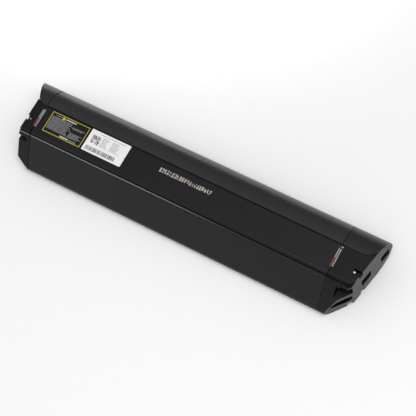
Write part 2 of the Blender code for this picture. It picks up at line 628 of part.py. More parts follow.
def build_cells(cell_mat, holder_mat, nickel_mat):
    def twelve_sided(centre, flat, low, high):
        return prism_data(ring(centre, flat / math.cos(math.radians(15)), 12, 15), low, high, "x")

    base = gather("cell_block_1", [twelve_sided(CELLS[0], CELL_FLAT, 0, CELL_LENGTH)], cell_mat)
    rest = [twelve_sided(cell, CELL_FLAT, 0, CELL_LENGTH) for cell in CELLS[1:]]
    others = gather("cell_block_others", rest)
    combine(base, others, "UNION").use_self = True
    bpy.context.view_layer.update()
    shared = bpy.data.meshes.new_from_object(base.evaluated_get(bpy.context.evaluated_depsgraph_get()))
    for made in (base, others):
        bpy.data.objects.remove(made, do_unlink=True)
    windows = [prism_data(ring(cell, HOLDER_WINDOW, 8, 22.5), -1, HOLDER_THICKNESS + 1, "x") for cell in CELLS]
    windows.append(prism_data(ring(DUCT, HOLDER_DUCT, 12), -1, HOLDER_THICKNESS + 1, "x"))
    windows += [prism_data(ring((y, z), BOSS_RADIUS + 0.4, 10), -1, HOLDER_THICKNESS + 1, "x")
                for y, z, _, _ in SCREWS]
    plate = prism("cell_holder_blank", full_section(HOLDER_INSET), 0, HOLDER_THICKNESS, "x", holder_mat)
    cut(plate, gather("cell_holder_windows", windows))
    bpy.context.view_layer.update()
    holder = bpy.data.meshes.new_from_object(plate.evaluated_get(bpy.context.evaluated_depsgraph_get()))
    for made in (plate, bpy.data.objects["cell_holder_windows"]):
        bpy.data.objects.remove(made, do_unlink=True)

    def place(name, mesh, x):
        item = bpy.data.objects.new(name, mesh)
        item.location = (x * MM, 0.0, 0.0)
        bpy.context.scene.collection.objects.link(item)

    for index in range(BLOCKS):
        x = CELLS_START + index * SLICE
        place(f"cell_holder_{index + 1}", holder, x)
        sheet_x = x + HOLDER_THICKNESS + 0.2
        prism(f"nickel_sheet_{index + 1}", SHEET_OUTLINE, sheet_x, sheet_x + SHEET_THICKNESS, "x", nickel_mat)
        place(f"cell_block_{index + 1}", shared, sheet_x + SHEET_THICKNESS + SHEET_GAP)
    last = CELLS_START + BLOCKS * SLICE
    prism(f"nickel_sheet_{BLOCKS + 1}", SHEET_OUTLINE, last, last + SHEET_THICKNESS, "x", nickel_mat)
    place(f"cell_holder_{BLOCKS + 1}", holder, last + SHEET_THICKNESS + SHEET_GAP)


def build_electronics(board, metal, black, red, yellow, foam):
    bms = box("bms_board", *BOARD, board)
    (back, bottom), (front, top) = TRANSISTORS
    chips = [box_data((back, y, bottom), (front, y + TRANSISTOR_WIDTH, top)) for y in TRANSISTOR_PLACES]
    chips.append(box_data(*CONNECTOR))
    join(bms, gather("bms_components", chips))
    box("bms_heat_plate", *HEAT_PLATE, metal)
    box("foam_pad", *FOAM, foam)
    smooth(lathe("fuse", FUSE_PROFILE, FUSE_PLACE, HOLE_SIDES, metal))
    smooth(lathe("temperature_sensor", SENSOR_PROFILE, SENSOR_PLACE, 10, black))
    duct_y = DUCT[0]
    tube("balance_harness", [(LEADS_START, duct_y, HARNESS_Z), (HARNESS_END, duct_y, HARNESS_Z)], HARNESS_RADIUS,
         yellow)
    for word, mat in (("positive", red), ("negative", black)):
        place = LEAD_PLACES[word]
        run = spline_points([(LEAD_BEND, *place), *LEAD_KNOTS[word]], 3)
        tube(f"lead_{word}", [(LEADS_START, *place)] + run, LEAD_RADIUS, mat)


def contact(name, back, tip, centre, mat):
    """A forked spring contact that a blade slides into."""
    y, z = centre
    outline = [(back, y - 4.0), (tip, y - 2.4), (tip, y - 1.6), (back + 1.0, y - 3.0), (back + 1.0, y + 3.0),
               (tip, y + 1.6), (tip, y + 2.4), (back, y + 4.0)]
    prism(name, outline, z - CONTACT_HALF, z + CONTACT_HALF, "z", mat)


def build_sockets(plastic, brass):
    """The blocks behind the end face, open towards it, with a contact and a standing leg each."""
    for word, opening in (("positive", SOCKET_NEAR), ("negative", SOCKET_FAR)):
        (low_y, low_z), (high_y, high_z) = opening
        low, high = TERMINALS[word]
        back = low[0] + TERMINAL_BACK
        name = f"terminal_block_{word}"
        block = box(name, low, high, plastic)
        cut(block, box(name + "_opening", (back, low_y, low_z), (high[0] + 3, high_y, high_z)))
        join(block, box(name + "_leg", *TERMINAL_LEGS[word]))
        centre = ((low_y + high_y) / 2, (low_z + high_z) / 2)
        start = back + CONTACT_GAP
        contact(f"contact_{word}", start, start + CONTACT_LENGTH, centre, brass)


def build_left_controls(plastic, rubber, brass, steel, board, lens):
    smooth(lathe("charge_socket", SOCKET_PROFILE, PORT, TURNED_SIDES, plastic))
    smooth(lathe("charge_pin", PIN_PROFILE, PORT, HOLE_SIDES, brass))

    # The flap turns about a pin beside the port
    port_y, port_z = PORT
    hinge_x, hinge_y = HINGE
    plate_low, plate_high = LEFT_CAP_END + TOUCH_GAP, POCKET_FLOOR - TOUCH_GAP
    outline = rectangle((port_y - FLAP_NEAR, port_z - FLAP_HALF_HEIGHT),
                        (hinge_y - FLAP_FAR, port_z + FLAP_HALF_HEIGHT))
    low_z, high_z = port_z - BARREL_HALF, port_z + BARREL_HALF
    flap = prism("charge_flap", outline, plate_low, plate_high, "x", rubber)
    join(flap, prism("flap_barrel", ring(HINGE, BARREL_RADIUS, 14), low_z, high_z, "z"))
    join(flap, box("flap_arm", (hinge_x - 0.8, hinge_y - 2.4, low_z), (hinge_x + 0.8, hinge_y - 0.2, high_z)))
    join(flap, prism("flap_plug", ring(PORT, PLUG_RADIUS, 20), plate_high - 0.5, plate_high + PLUG_LENGTH, "x"))
    cut(flap, prism("flap_pin_hole", ring(HINGE, PIN_RADIUS + PIN_GAP, 12), low_z - 2, high_z + 2, "z"))
    smooth(flap)
    pin_z = (port_z - PIN_HALF, port_z + PIN_HALF)
    smooth(prism("flap_hinge_pin", ring(HINGE, PIN_RADIUS, 12), *pin_z, "z", steel))

    face = LEFT_CAP_END + PROUD
    profile = [(-205.0, 0), (-205.0, 3.0), (-207.0, 3.0), (-207.0, 6.4), (-208.2, 6.4), (-208.2, BUTTON_RADIUS),
               (face + 0.6, BUTTON_RADIUS), (face, BUTTON_RADIUS - 0.6), (face, 3.4), (face + 0.4, 2.8),
               (face + 0.4, 0)]
    smooth(lathe("power_button", profile, BUTTON, TURNED_SIDES, rubber))
    (low_y, low_z), (high_y, high_z) = GAUGE
    box("gauge_lens", (face, low_y, low_z), (-205.0, high_y, high_z), lens)
    gauge = prism("gauge_board", GAUGE_BOARD, *GAUGE_BOARD_X, "x", board)
    button_y, button_z = BUTTON
    back, front = GAUGE_SWITCH_X
    join(gauge, box("gauge_switch", (back, button_y - 3, button_z - 3), (front, button_y + 3, button_z + 3)))


def main():
    clear_scene()
    anodised = material("anodised_black", (0.018, 0.018, 0.020), 0.42, 0.6)
    plastic = material("black_plastic", (0.020, 0.020, 0.021), 0.5)
    rubber = material("black_rubber", (0.010, 0.010, 0.010), 0.75)
    film = material("label_film", (0.03, 0.03, 0.03), 0.4)
    paper = material("label_paper", (0.85, 0.85, 0.84), 0.6)
    seal = material("seal_film", (0.05, 0.05, 0.05), 0.4)
    steel = material("screw_steel", (0.60, 0.60, 0.58), 0.3, 1.0)
    cell_wrap = material("cell_wrap", (0.05, 0.22, 0.35), 0.4)
    holder = material("holder_plastic", (0.25, 0.25, 0.26), 0.5)
    nickel = material("nickel", (0.70, 0.68, 0.62), 0.3, 1.0)
    board = material("circuit_board", (0.02, 0.16, 0.07), 0.4)
    heat = material("heat_spreader", (0.75, 0.76, 0.77), 0.35, 1.0)
    brass = material("contact_brass", (0.80, 0.62, 0.30), 0.3, 1.0)
    red = material("red_silicone", (0.60, 0.03, 0.02), 0.5)
    wire_black = material("black_silicone", (0.02, 0.02, 0.02), 0.5)
    sleeve = material("harness_sleeve", (0.70, 0.45, 0.05), 0.5)
    foam = material("grey_foam", (0.20, 0.20, 0.20), 0.9)
    lens = material("gauge_plastic", (0.60, 0.62, 0.60), 0.2)

    build_housing(anodised)
    build_side_cover(anodised)
    build_seam_strips(rubber)
    build_gasket("gasket_left", LEFT_JOINT[0] + 0.2, LEFT_JOINT[1] - 0.2, 0.6, rubber)
    build_gasket("gasket_right", RIGHT_JOINT[0] + 0.15, RIGHT_JOINT[1] - 0.15, 0.4, rubber)
    build_end_cap_left(plastic)
    build_end_cap_right(plastic)
    build_cover_end_left(plastic)
    build_cover_end_right(plastic)
    build_screws(steel)
    build_labels(film, paper, seal)
    build_cells(cell_wrap, holder, nickel)
    build_electronics(board, heat, wire_black, red, sleeve, foam)
    build_sockets(plastic, brass)
    build_left_controls(plastic, rubber, brass, steel, board, lens)


main()
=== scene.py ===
"""Looks of an electric bicycle's battery pack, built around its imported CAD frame.

Shapes are in millimetres in the frame of the CAD: X along the pack, Y towards the half-round cover, Z up.
"""
import math
import random

import bmesh
import bpy
from mathutils import Matrix, Vector


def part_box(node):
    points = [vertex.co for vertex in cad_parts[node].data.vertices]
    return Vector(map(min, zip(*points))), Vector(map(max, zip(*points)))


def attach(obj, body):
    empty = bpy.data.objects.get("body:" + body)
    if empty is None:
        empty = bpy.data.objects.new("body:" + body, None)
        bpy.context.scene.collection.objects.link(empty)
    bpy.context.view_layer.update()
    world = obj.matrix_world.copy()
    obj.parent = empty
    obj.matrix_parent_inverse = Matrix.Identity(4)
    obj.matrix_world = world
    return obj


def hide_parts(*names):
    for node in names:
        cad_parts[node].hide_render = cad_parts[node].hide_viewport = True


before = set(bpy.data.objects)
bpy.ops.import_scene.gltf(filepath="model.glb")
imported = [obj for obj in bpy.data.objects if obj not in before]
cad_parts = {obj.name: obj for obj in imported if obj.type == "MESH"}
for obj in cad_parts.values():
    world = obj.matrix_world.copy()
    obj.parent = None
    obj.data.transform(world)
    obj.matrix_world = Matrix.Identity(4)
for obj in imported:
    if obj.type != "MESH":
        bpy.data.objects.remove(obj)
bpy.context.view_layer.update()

MM = 0.001

# The pack's section
HEIGHT = 58.7
SEAM_Y = 16.2
SEAM_GAP = 1.2
SEAM_ROUND = 0.7
SEAL_DEPTHS = (1.9, 2.3)
COVER_REACH = 33.0
NEAR_LEAN = math.radians(31.3)
NEAR_POINT = (-50.1, 10.0)
FOOT_RADIUS = 9.0
SHOULDER = (-17.0, 53.7)
SHOULDER_RADIUS = 5.0
GROOVE_WIDTH = 1.6
GROOVE_DEPTH = 2.0
GROOVE_SLANT = math.radians(-30)
LIP_EDGE = (-23.9, 53.0)
LIP_CREASE = (-23.1, 52.4)
NEAR_TOP_Z = 51.9
INNER_CORNER = (-13.5, 50.0)

# Places along the pack
LEFT_JOINT = (-199.9, -198.6)
RIGHT_JOINT = (184.4, 185.2)
LEFT_CAP_END = -214.5
COVER_TIP = (-228.0, 49.2)
LEFT_COVER_SLANT = 0.545
END_CORNER = (228.0, 49.2)
END_SKEW = 0.1853
DIAGONAL_NEAR = (191.8, -50.7)
DIAGONAL_END = (215.0, -21.1)
LEFT_CUT = ((-214.5, -42.8), (-198.5, -50.3))
FLARE_RIGHT = (209.0, 223.5, 8.7)
FLARE_LEFT = (-202.0, -212.7, 5.0)

# Walls
HOUSING_WALL = 2.2
COVER_WALL = 2.0
CAP_WALL = 2.4
END_WALL = 3.0
LEFT_END_WALL = 6.0
EDGE = 0.4
CREASE = 30.0       # degrees between two faces that make an edge worth rounding

# Screws: Y, Z, seat X in the left cap, seat X in the right cap
SCREWS = (
    (-5.1, 54.1, -206.9, 208.7),
    (-23.2, 46.5, -203.6, 199.0),
    (-23.8, 4.4, -206.9, 204.0),
    (-5.2, 4.4, -206.9, 212.0),
)
SCREW_TIPS = (-186.0, 172.0)
SCREW_HOLE = 1.65
SHANK = 1.5
HEAD = 2.8
HEX_MOUTH = 1.3
CHANNEL_HALF = 3.2
TOWER_HALF = 5.5
UPPER_TOWER_FOOT, LOWER_TOWER_TOP = 50.2, 8.6

# Cells
PITCH = 18.6
CELL_RADIUS = 9.2
ROW_STEP = PITCH * math.sin(math.radians(60))
ROWS = ((-1, (-33.1, -14.5, 4.1, 22.7)), (0, (-23.8, -5.2, 13.4, 32.0)), (1, (4.1, 22.7)))

# End features
PORT = (2.0, 28.0)
POCKET_FLOOR = -211.9
POCKET_HALF, FLAP_HALF = 10.4, 9.9
HINGE = (-213.3, 13.2)
BUTTON = (-24.0, 30.0)
BUTTON_RADIUS = 5.0
GAUGE = ((-33.0, 13.0), (-15.0, 16.0))
SOCKET_NEAR = ((-4.3, 22.4), (10.0, 32.0))
SOCKET_FAR = ((29.5, 22.2), (41.7, 30.9))
LOCK_SLOT = ((1.2, 25.8, 0.6), (1.2, 18.6, 1.2), (3.5, 15.6, 2.0), (8.6, 14.2, 3.0), (24.5, 16.0, 3.0),
             (27.6, 17.2, 0.9), (27.2, 18.8, 0.9), (20.0, 24.9, 4.0), (8.2, 26.0, 3.0))
LOCK_SLOT_DEPTH = 7.0
SCOOP_LOW, SCOOP_HIGH = (198.7, -60.0, 34.4), (213.8, -20.2, 50.8)
CORNER_CENTRE = (207.8, -12.8)
CORNER_RADIUS = 8.53     # the groove's mouth, seen in plan
RIGHT_OUT = Vector((1.0, -END_SKEW, 0.0)).normalized()
DIAGONAL_OUT = Vector((DIAGONAL_END[1] - DIAGONAL_NEAR[1], DIAGONAL_NEAR[0] - DIAGONAL_END[0], 0.0))
DIAGONAL_OUT.normalize()
LEFT_FACET_OUT = Vector((-0.424, -0.906, 0.0))


# ---- Shape helpers

def make(name, verts, faces, coat=None):
    """An object from vertices in millimetres, with its faces turned outwards."""
    mesh = bpy.data.meshes.new(name)
    work = bmesh.new()
    made = [work.verts.new([value * MM for value in vert]) for vert in verts]
    for face in faces:
        work.faces.new([made[index] for index in face])
    bmesh.ops.recalc_face_normals(work, faces=work.faces[:])
    work.to_mesh(mesh)
    work.free()
    if coat:
        mesh.materials.append(MATERIALS[coat])
    item = bpy.data.objects.new(name, mesh)
    bpy.context.scene.collection.objects.link(item)
    return item


def band(low, high, count):
    """The faces between two rings of vertices, given by their first indices."""
    return [[low + index, low + (index + 1) % count, high + (index + 1) % count, high + index]
            for index in range(count)]


def skinned(rings):
    """The points and faces of equally long rings joined side by side and capped at both ends."""
    count = len(rings[0])
    last = count * (len(rings) - 1)
    faces = [face for start in range(0, last, count) for face in band(start, start + count, count)]
    faces += [list(range(count)), list(range(last, last + count))]
    return [point for ring in rings for point in ring], faces


def loft(name, rings, coat=None):
    return make(name, *skinned(rings), coat)


def along(axis, u, v, w):
    return {"x": (w, u, v), "y": (u, w, v), "z": (u, v, w)}[axis]


def prism(name, outline, low, high, axis, coat=None):
    return loft(name, [[along(axis, u, v, w) for u, v in outline] for w in (low, high)], coat)


def soft_prism(name, outline, low, high, axis, coat, edge, steps=2):
    """A prism whose end edges are rounded."""
    turns = [math.radians(90.0 * step / steps) for step in range(steps + 1)]
    rings = []
    for level, sense, order in ((low, 1, turns), (high, -1, turns[::-1])):
        for turn in order:
            here = level + sense * edge * (1 - math.cos(turn))
            rings.append([along(axis, u, v, here) for u, v in inset(outline, edge * (1 - math.sin(turn)))])
    return loft(name, rings, coat)


def rectangle(x0, y0, x1, y1):
    return [(x0, y0), (x1, y0), (x1, y1), (x0, y1)]


def box(name, low, high):
    return prism(name, rectangle(*low[:2], *high[:2]), low[2], high[2], "z")


def arc(centre, radii, start, end, steps):
    points = []
    for step in range(steps + 1):
        angle = math.radians(start + (end - start) * step / steps)
        points.append((centre[0] + radii[0] * math.cos(angle), centre[1] + radii[1] * math.sin(angle)))
    return points


def circle(centre, radius, sides=32):
    return arc(centre, (radius, radius), 0.0, 360.0, sides)[:-1]


def filleted(corners, steps=4):
    """A closed outline from (u, v, radius) corners."""
    points = []
    for index, (u, v, radius) in enumerate(corners):
        here = Vector((u, v))
        if radius == 0.0:
            points.append((u, v))
            continue
        back = (Vector(corners[index - 1][:2]) - here).normalized()
        ahead = (Vector(corners[(index + 1) % len(corners)][:2]) - here).normalized()
        half = back.angle(ahead) / 2
        centre = here + (back + ahead).normalized() * radius / math.sin(half)
        start = here + back * radius / math.tan(half) - centre
        end = here + ahead * radius / math.tan(half) - centre
        sweep = (math.pi - 2 * half) * (1 if start.cross(end) > 0 else -1)
        for step in range(steps + 1):
            points.append(tuple(centre + Matrix.Rotation(sweep * step / steps, 2) @ start))
    return points


def rounded_box(low, high, radius):
    return filleted([(*corner, radius) for corner in rectangle(*low, *high)])


def area(outline):
    return sum(a[0] * b[1] - b[0] * a[1] for a, b in zip(outline, outline[1:] + outline[:1])) / 2


def inset(outline, distance):
    """The outline moved inwards, point by point."""
    sense = 1 if area(outline) > 0 else -1
    moved = []
    for index, point in enumerate(outline):
        here = Vector(point)
        before = here - Vector(outline[index - 1])
        after = Vector(outline[(index + 1) % len(outline)]) - here
        normals = [Vector((-side.y, side.x)).normalized() * sense for side in (before, after)]
        middle = normals[0] + normals[1]
        moved.append(tuple(here + middle * distance / (1 + normals[0].dot(normals[1]))))
    return moved


def bake(item):
    """Applies an object's modifiers to its mesh."""
    graph = bpy.context.evaluated_depsgraph_get()
    mesh = bpy.data.meshes.new_from_object(item.evaluated_get(graph))
    item.modifiers.clear()
    item.data = mesh


def carve(target, tools, operation="DIFFERENCE"):
    """Cuts, joins or keeps the overlap with tools, which are then gone."""
    for tool in tools:
        step = target.modifiers.new("carve", "BOOLEAN")
        step.operation = operation
        step.solver = "EXACT"
        step.object = tool
        bake(target)
        bpy.data.objects.remove(tool, do_unlink=True)
    return target


def soften(item, test, width):
    """Rounds the creased edges whose two ends both pass a test on their place in millimetres."""
    work = bmesh.new()
    work.from_mesh(item.data)
    bmesh.ops.remove_doubles(work, verts=work.verts[:], dist=2e-6)
    bmesh.ops.dissolve_degenerate(work, edges=work.edges[:], dist=2e-6)
    chosen = []
    for edge in work.edges:
        if len(edge.link_faces) == 2 and math.degrees(edge.calc_face_angle()) > CREASE:
            if all(test(*[value / MM for value in vert.co]) for vert in edge.verts):
                chosen.append(edge)
    bmesh.ops.bevel(work, geom=chosen, offset=width * MM, segments=2, profile=0.5, affect="EDGES",
                    clamp_overlap=True)
    work.to_mesh(item.data)
    work.free()


def settle(item, slot, *nodes, body="root", sharp=34.0):
    """Gives a finished piece clean shading, the CAD nodes that it stands for and its body; its slot argument
    is not used.
    """
    item.data.shade_smooth()
    item.data.set_sharp_from_angle(angle=math.radians(sharp))
    weights = item.modifiers.new("even_normals", "WEIGHTED_NORMAL")
    weights.keep_sharp = True
    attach(item, body)
    if nodes:
        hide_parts(*nodes)
    return item


def paint(item, coat, *tests):
    """Gives a second material to the faces whose middle (in millimetres) and normal pass one of the tests;
    this puts on the glossier lip, painted light and painted shade.
    """
    item.data.materials.append(MATERIALS[coat])
    slot = len(item.data.materials) - 1
    for face in item.data.polygons:
        place = [value / MM for value in face.center]
        if any(test(*place, face.normal) for test in tests):
            face.material_index = slot


def turned_rings(profile, centre, sides, shape=None):
    """Rings about a line along X through (Y, Z); shape may change the radius by X and angle."""
    rings = []
    for x, radius in profile:
        points = []
        for side in range(sides):
            angle = 2 * math.pi * side / sides
            here = shape(x, angle, radius) if shape else radius
            points.append((x, centre[0] + here * math.cos(angle), centre[1] + here * math.sin(angle)))
        rings.append(points)
    return rings


def turned(name, profile, centre, coat, sides, shape=None):
    return loft(name, turned_rings(profile, centre, sides, shape), coat)


# ---- Sections and plans

def near_face_y(z, depth=0.0):
    return NEAR_POINT[0] + (z - NEAR_POINT[1]) * math.tan(NEAR_LEAN) + depth / math.cos(NEAR_LEAN)


def groove_corners():
    """The round shoulder, the groove in it, and the lip and crease below it, as (y, z, radius) corners."""
    shoulder = arc(SHOULDER, (SHOULDER_RADIUS, SHOULDER_RADIUS), 90, 150, 10)
    mouth = shoulder[-1]
    inward = (math.cos(GROOVE_SLANT), math.sin(GROOVE_SLANT))
    down = (inward[1], -inward[0])
    floor_top = (mouth[0] + GROOVE_DEPTH * inward[0], mouth[1] + GROOVE_DEPTH * inward[1])
    floor_low = (floor_top[0] + GROOVE_WIDTH * down[0], floor_top[1] + GROOVE_WIDTH * down[1])
    mouth_low = (mouth[0] + GROOVE_WIDTH * down[0], mouth[1] + GROOVE_WIDTH * down[1])
    corners = [(y, z, 0.0) for y, z in shoulder[:-1]]
    corners += [(*mouth, 0.45), (*floor_top, 0.3), (*floor_low, 0.3), (*mouth_low, 0.45), (*LIP_EDGE, 0.45),
                (*LIP_CREASE, 0.12), (near_face_y(NEAR_TOP_Z), NEAR_TOP_Z, 0.6)]
    return corners


def foot_corners(depth=0.0):
    centre = (near_face_y(FOOT_RADIUS) + FOOT_RADIUS / math.cos(NEAR_LEAN), FOOT_RADIUS)
    radii = (FOOT_RADIUS - depth, FOOT_RADIUS - depth)
    return [(y, z, 0.0) for y, z in arc(centre, radii, 180 - math.degrees(NEAR_LEAN), 270, 20)]


def inner_near_corners(depth):
    ceiling_y, wall_z = INNER_CORNER
    near_y = near_face_y(wall_z, depth)
    return [(ceiling_y, HEIGHT - depth, 1.0), (near_y, wall_z, 1.0)] + foot_corners(depth)


def cover_arc(depth=0.0, limit=90.0, steps=72):
    radii = (COVER_REACH - depth, HEIGHT / 2 - depth)
    return arc((SEAM_Y, HEIGHT / 2), radii, -limit, limit, steps)


def full_section(depth=0.0):
    near = inner_near_corners(depth) if depth else groove_corners() + foot_corners()
    return filleted(near + [(y, z, 0.0) for y, z in cover_arc(depth)])


def cover_section():
    """The far half of the section, reaching a little past the seam."""
    return [(12.0, HEIGHT), (12.0, 0.0)] + cover_arc()


def right_end_x(y):
    return END_CORNER[0] - (END_CORNER[1] - y) * END_SKEW


def diagonal_x(y):
    slope = (DIAGONAL_END[0] - DIAGONAL_NEAR[0]) / (DIAGONAL_END[1] - DIAGONAL_NEAR[1])
    return DIAGONAL_END[0] + (y - DIAGONAL_END[1]) * slope


def left_cover_x(y):
    return COVER_TIP[0] + (COVER_TIP[1] - y) * LEFT_COVER_SLANT


def flare(start, end, rise, gap):
    """The seam's line in plan over a cap, swinging away from the pack's near side."""
    turns = [step / 16 for step in range(17)]
    return [(start + (end - start) * t, SEAM_Y + rise * t * t + gap) for t in turns]


def swept_end(name, outline, start, end_x, sense, coat):
    """The outline swept from a joint to a slanted end, with both end edges rounded."""
    rings = []
    for depth, reach in ((EDGE, 0.0), (0.12, 0.12), (0.0, EDGE)):
        rings.append([(start + sense * reach, y, z) for y, z in inset(outline, depth)])
    for depth, reach in ((0.0, EDGE), (0.03, 0.26), (0.12, 0.12), (0.26, 0.03), (EDGE, 0.0)):
        rings.append([(end_x(y) - sense * reach, y, z) for y, z in inset(outline, depth)])
    return loft(name, rings, coat)


# ---- Which faces get a second material: the glossier lip, painted light and painted shade

SKIN = 0.15     # faces less deep than this count as the surface


def on_lip(x, y, z, normal):
    return -24.3 < y < -21.8 and 52.6 < z < 55.3 and normal.y < -0.5 and normal.z > 0.4


def in_groove(x, y, z, normal):
    """The walls and floor of the groove, by their depth below its mouth and their place across it; painted
    shade goes on them.
    """
    cos, sin = math.cos(GROOVE_SLANT), math.sin(GROOVE_SLANT)
    from_y = y - SHOULDER[0] + SHOULDER_RADIUS * cos
    from_z = z - SHOULDER[1] + SHOULDER_RADIUS * sin
    depth, across = cos * from_y + sin * from_z, sin * from_y - cos * from_z
    straight = x < RIGHT_JOINT[1] + 8.0
    return straight and 0.25 < depth < GROOVE_DEPTH + 0.2 and -0.2 < across < GROOVE_WIDTH + 0.2


def at_seam(x, y, z, normal):
    """The rounded edges along the long seam, where painted shade goes."""
    beside = abs(y - SEAM_Y) < SEAM_GAP / 2 + SEAM_ROUND
    return beside and not 1.5 < z < HEIGHT - 1.5 and 0.1 < abs(normal.z) < 0.97


def at_flare(x, y, z, normal):
    """The eased edges along the right flared seam, without those on the end face; painted shade goes on
    them.
    """
    return z > HEIGHT - 0.6 and 0.1 < normal.z < 0.97 and y > 4.0 and x < right_end_x(y) - 1.2


def on_right_end(x, y, z, normal):
    return normal.dot(RIGHT_OUT) > 0.7 and x > right_end_x(y) - 0.5


def on_diagonal(x, y, z, normal):
    return normal.dot(DIAGONAL_OUT) > 0.7 and x > diagonal_x(y) - 0.5


def on_left_facet(x, y, z, normal):
    return normal.dot(LEFT_FACET_OUT) > 0.97 and x < -200.5


def in_socket(x, y, z, normal):
    beside = any(low[0] - 2.1 < y < high[0] + 2.1 for low, high in (SOCKET_NEAR, SOCKET_FAR))
    return beside and 18.9 < z < 35.5 and x < right_end_x(y) - SKIN


def in_lock_slot(x, y, z, normal):
    depth, facing = diagonal_x(y) - x, normal.dot(DIAGONAL_OUT)
    wall = SKIN < depth < 9.0 and near_face_y(z) + 1.0 < y < -21.5 and abs(facing) < 0.9
    floor = 8.0 < depth < 13.0 and y < -20.0 and facing > 0.9
    return 13.0 < z < 27.5 and (wall or floor)


def in_relief(x, y, z, normal):
    reach = math.hypot((y - SEAM_Y) / (COVER_REACH - CAP_WALL), (z - HEIGHT / 2) / (HEIGHT / 2 - CAP_WALL))
    return y > 32.0 and 0.92 < reach < 1.05 and SKIN < right_end_x(y) - x < END_WALL + 0.8


def in_scoop(x, y, z, normal):
    """The upright walls of the pocket in the near face, which get painted shade; its floor keeps the cap's
    own tone.
    """
    level = SCOOP_LOW[2] - 0.2 < z < SCOOP_HIGH[2] and abs(normal.z) < 0.6
    return (level and SCOOP_LOW[0] - 0.2 < x < diagonal_x(y) - 2 * SKIN
            and near_face_y(z) + 1.0 < y < SCOOP_HIGH[1] + 0.2)


# ---- Materials

class Nodes:
    """A small hand for wiring one material's nodes."""

    def __init__(self, name):
        self.material = bpy.data.materials.new(name)
        self.material.use_nodes = True
        self.tree = self.material.node_tree
        self.shader = self.tree.nodes["Principled BSDF"]
        self.place = self.add("ShaderNodeTexCoord").outputs["Object"]

    def add(self, kind, values=(), **settings):
        """A node with its settings and the constant values of its inputs."""
        node = self.tree.nodes.new(kind)
        for key, value in settings.items():
            setattr(node, key, value)
        for key, value in dict(values).items():
            node.inputs[key].default_value = value
        return node

    def link(self, source, target):
        self.tree.links.new(source, target)

    def stretched(self, stretch):
        mapping = self.add("ShaderNodeMapping", {"Scale": stretch})
        self.link(self.place, mapping.inputs["Vector"])
        return mapping.outputs["Vector"]

    def noise(self, scale, detail=3.0, rough=0.5, stretch=(1.0, 1.0, 1.0)):
        node = self.add("ShaderNodeTexNoise", {"Scale": scale, "Detail": detail, "Roughness": rough})
        self.link(self.stretched(stretch), node.inputs["Vector"])
        return node.outputs["Fac"]

    def cells(self, scale, stretch=(1.0, 1.0, 1.0), feature="F1"):
        node = self.add("ShaderNodeTexVoronoi", {"Scale": scale}, feature=feature)
        self.link(self.stretched(stretch), node.inputs["Vector"])
        return node.outputs["Distance"]

    def span(self, source, low, high, bottom=0.0, top=1.0):
        ends = {"From Min": low, "From Max": high, "To Min": bottom, "To Max": top}
        node = self.add("ShaderNodeMapRange", ends)
        self.link(source, node.inputs["Value"])
        return node.outputs["Result"]

    def sum(self, first, second, weight):
        node = self.add("ShaderNodeMath", {1: weight}, operation="MULTIPLY_ADD")
        self.link(second, node.inputs[0])
        self.link(first, node.inputs[2])
        return node.outputs["Value"]

    def blend(self, factor, first, second):
        node = self.add("ShaderNodeMix", data_type="RGBA")
        for socket, value in ((node.inputs[6], first), (node.inputs[7], second)):
            if isinstance(value, tuple):
                socket.default_value = (*value, 1.0)
            else:
                self.link(value, socket)
        self.link(factor, node.inputs[0])
        return node.outputs[2]

    def bump(self, height, strength, distance):
        node = self.add("ShaderNodeBump", {"Strength": strength, "Distance": distance * MM})
        self.link(height, node.inputs["Height"])
        self.link(node.outputs["Normal"], self.shader.inputs["Normal"])

    def set(self, **values):
        for key, value in values.items():
            self.shader.inputs[key.replace("_", " ")].default_value = value

    def wire(self, source, socket):
        self.link(source, self.shader.inputs[socket])


def grained(name, dark, light, rough, grain, bump, specular=0.5, metallic=0.0, stretch=(1.0, 1.0, 1.0)):
    """A moulded or coated surface: two close tones, fine grain and slightly patchy gloss."""
    m = Nodes(name)
    patches = m.noise(14.0, 5.0, 0.65)
    fine = m.noise(grain, 3.0, 0.6, stretch)
    m.wire(m.blend(m.span(m.sum(patches, fine, 0.5), 0.5, 1.0), dark, light), "Base Color")
    m.wire(m.span(m.sum(patches, fine, 0.6), 0.5, 1.1, *rough), "Roughness")
    m.bump(fine, bump, 0.1)
    m.set(Specular_IOR_Level=specular, Metallic=metallic)
    return m.material


def anodised(name, dark, light, rough, specular):
    """Blasted and anodised extrusion: fine sparkle, with faint drawing lines along X."""
    m = Nodes(name)
    patches = m.noise(9.0, 5.0, 0.6)
    sparkle = m.noise(3200.0, 2.0, 0.7)
    lines = m.noise(700.0, 3.0, 0.6, (0.01, 1.0, 1.0))
    mixed = m.sum(m.sum(patches, sparkle, 0.6), lines, 0.3)
    m.wire(m.blend(m.span(mixed, 0.6, 1.25), dark, light), "Base Color")
    m.wire(m.span(mixed, 0.6, 1.25, *rough), "Roughness")
    m.bump(m.sum(sparkle, lines, 0.2), 0.2, 0.04)
    m.set(Specular_IOR_Level=specular)
    return m.material


def board_mask(name):
    """Green solder mask with fine tracks and tinned pads."""
    m = Nodes(name)
    tracks = m.cells(260.0, (1.0, 1.0, 3.0), "DISTANCE_TO_EDGE")
    pads = m.cells(420.0)
    tone = m.blend(m.span(tracks, 0.03, 0.05), (0.03, 0.25, 0.10), (0.012, 0.10, 0.045))
    m.wire(m.blend(m.span(pads, 0.16, 0.14), tone, (0.65, 0.63, 0.58)), "Base Color")
    m.wire(m.span(m.noise(300.0), 0.3, 0.7, 0.25, 0.4), "Roughness")
    m.bump(tracks, 0.3, 0.05)
    return m.material


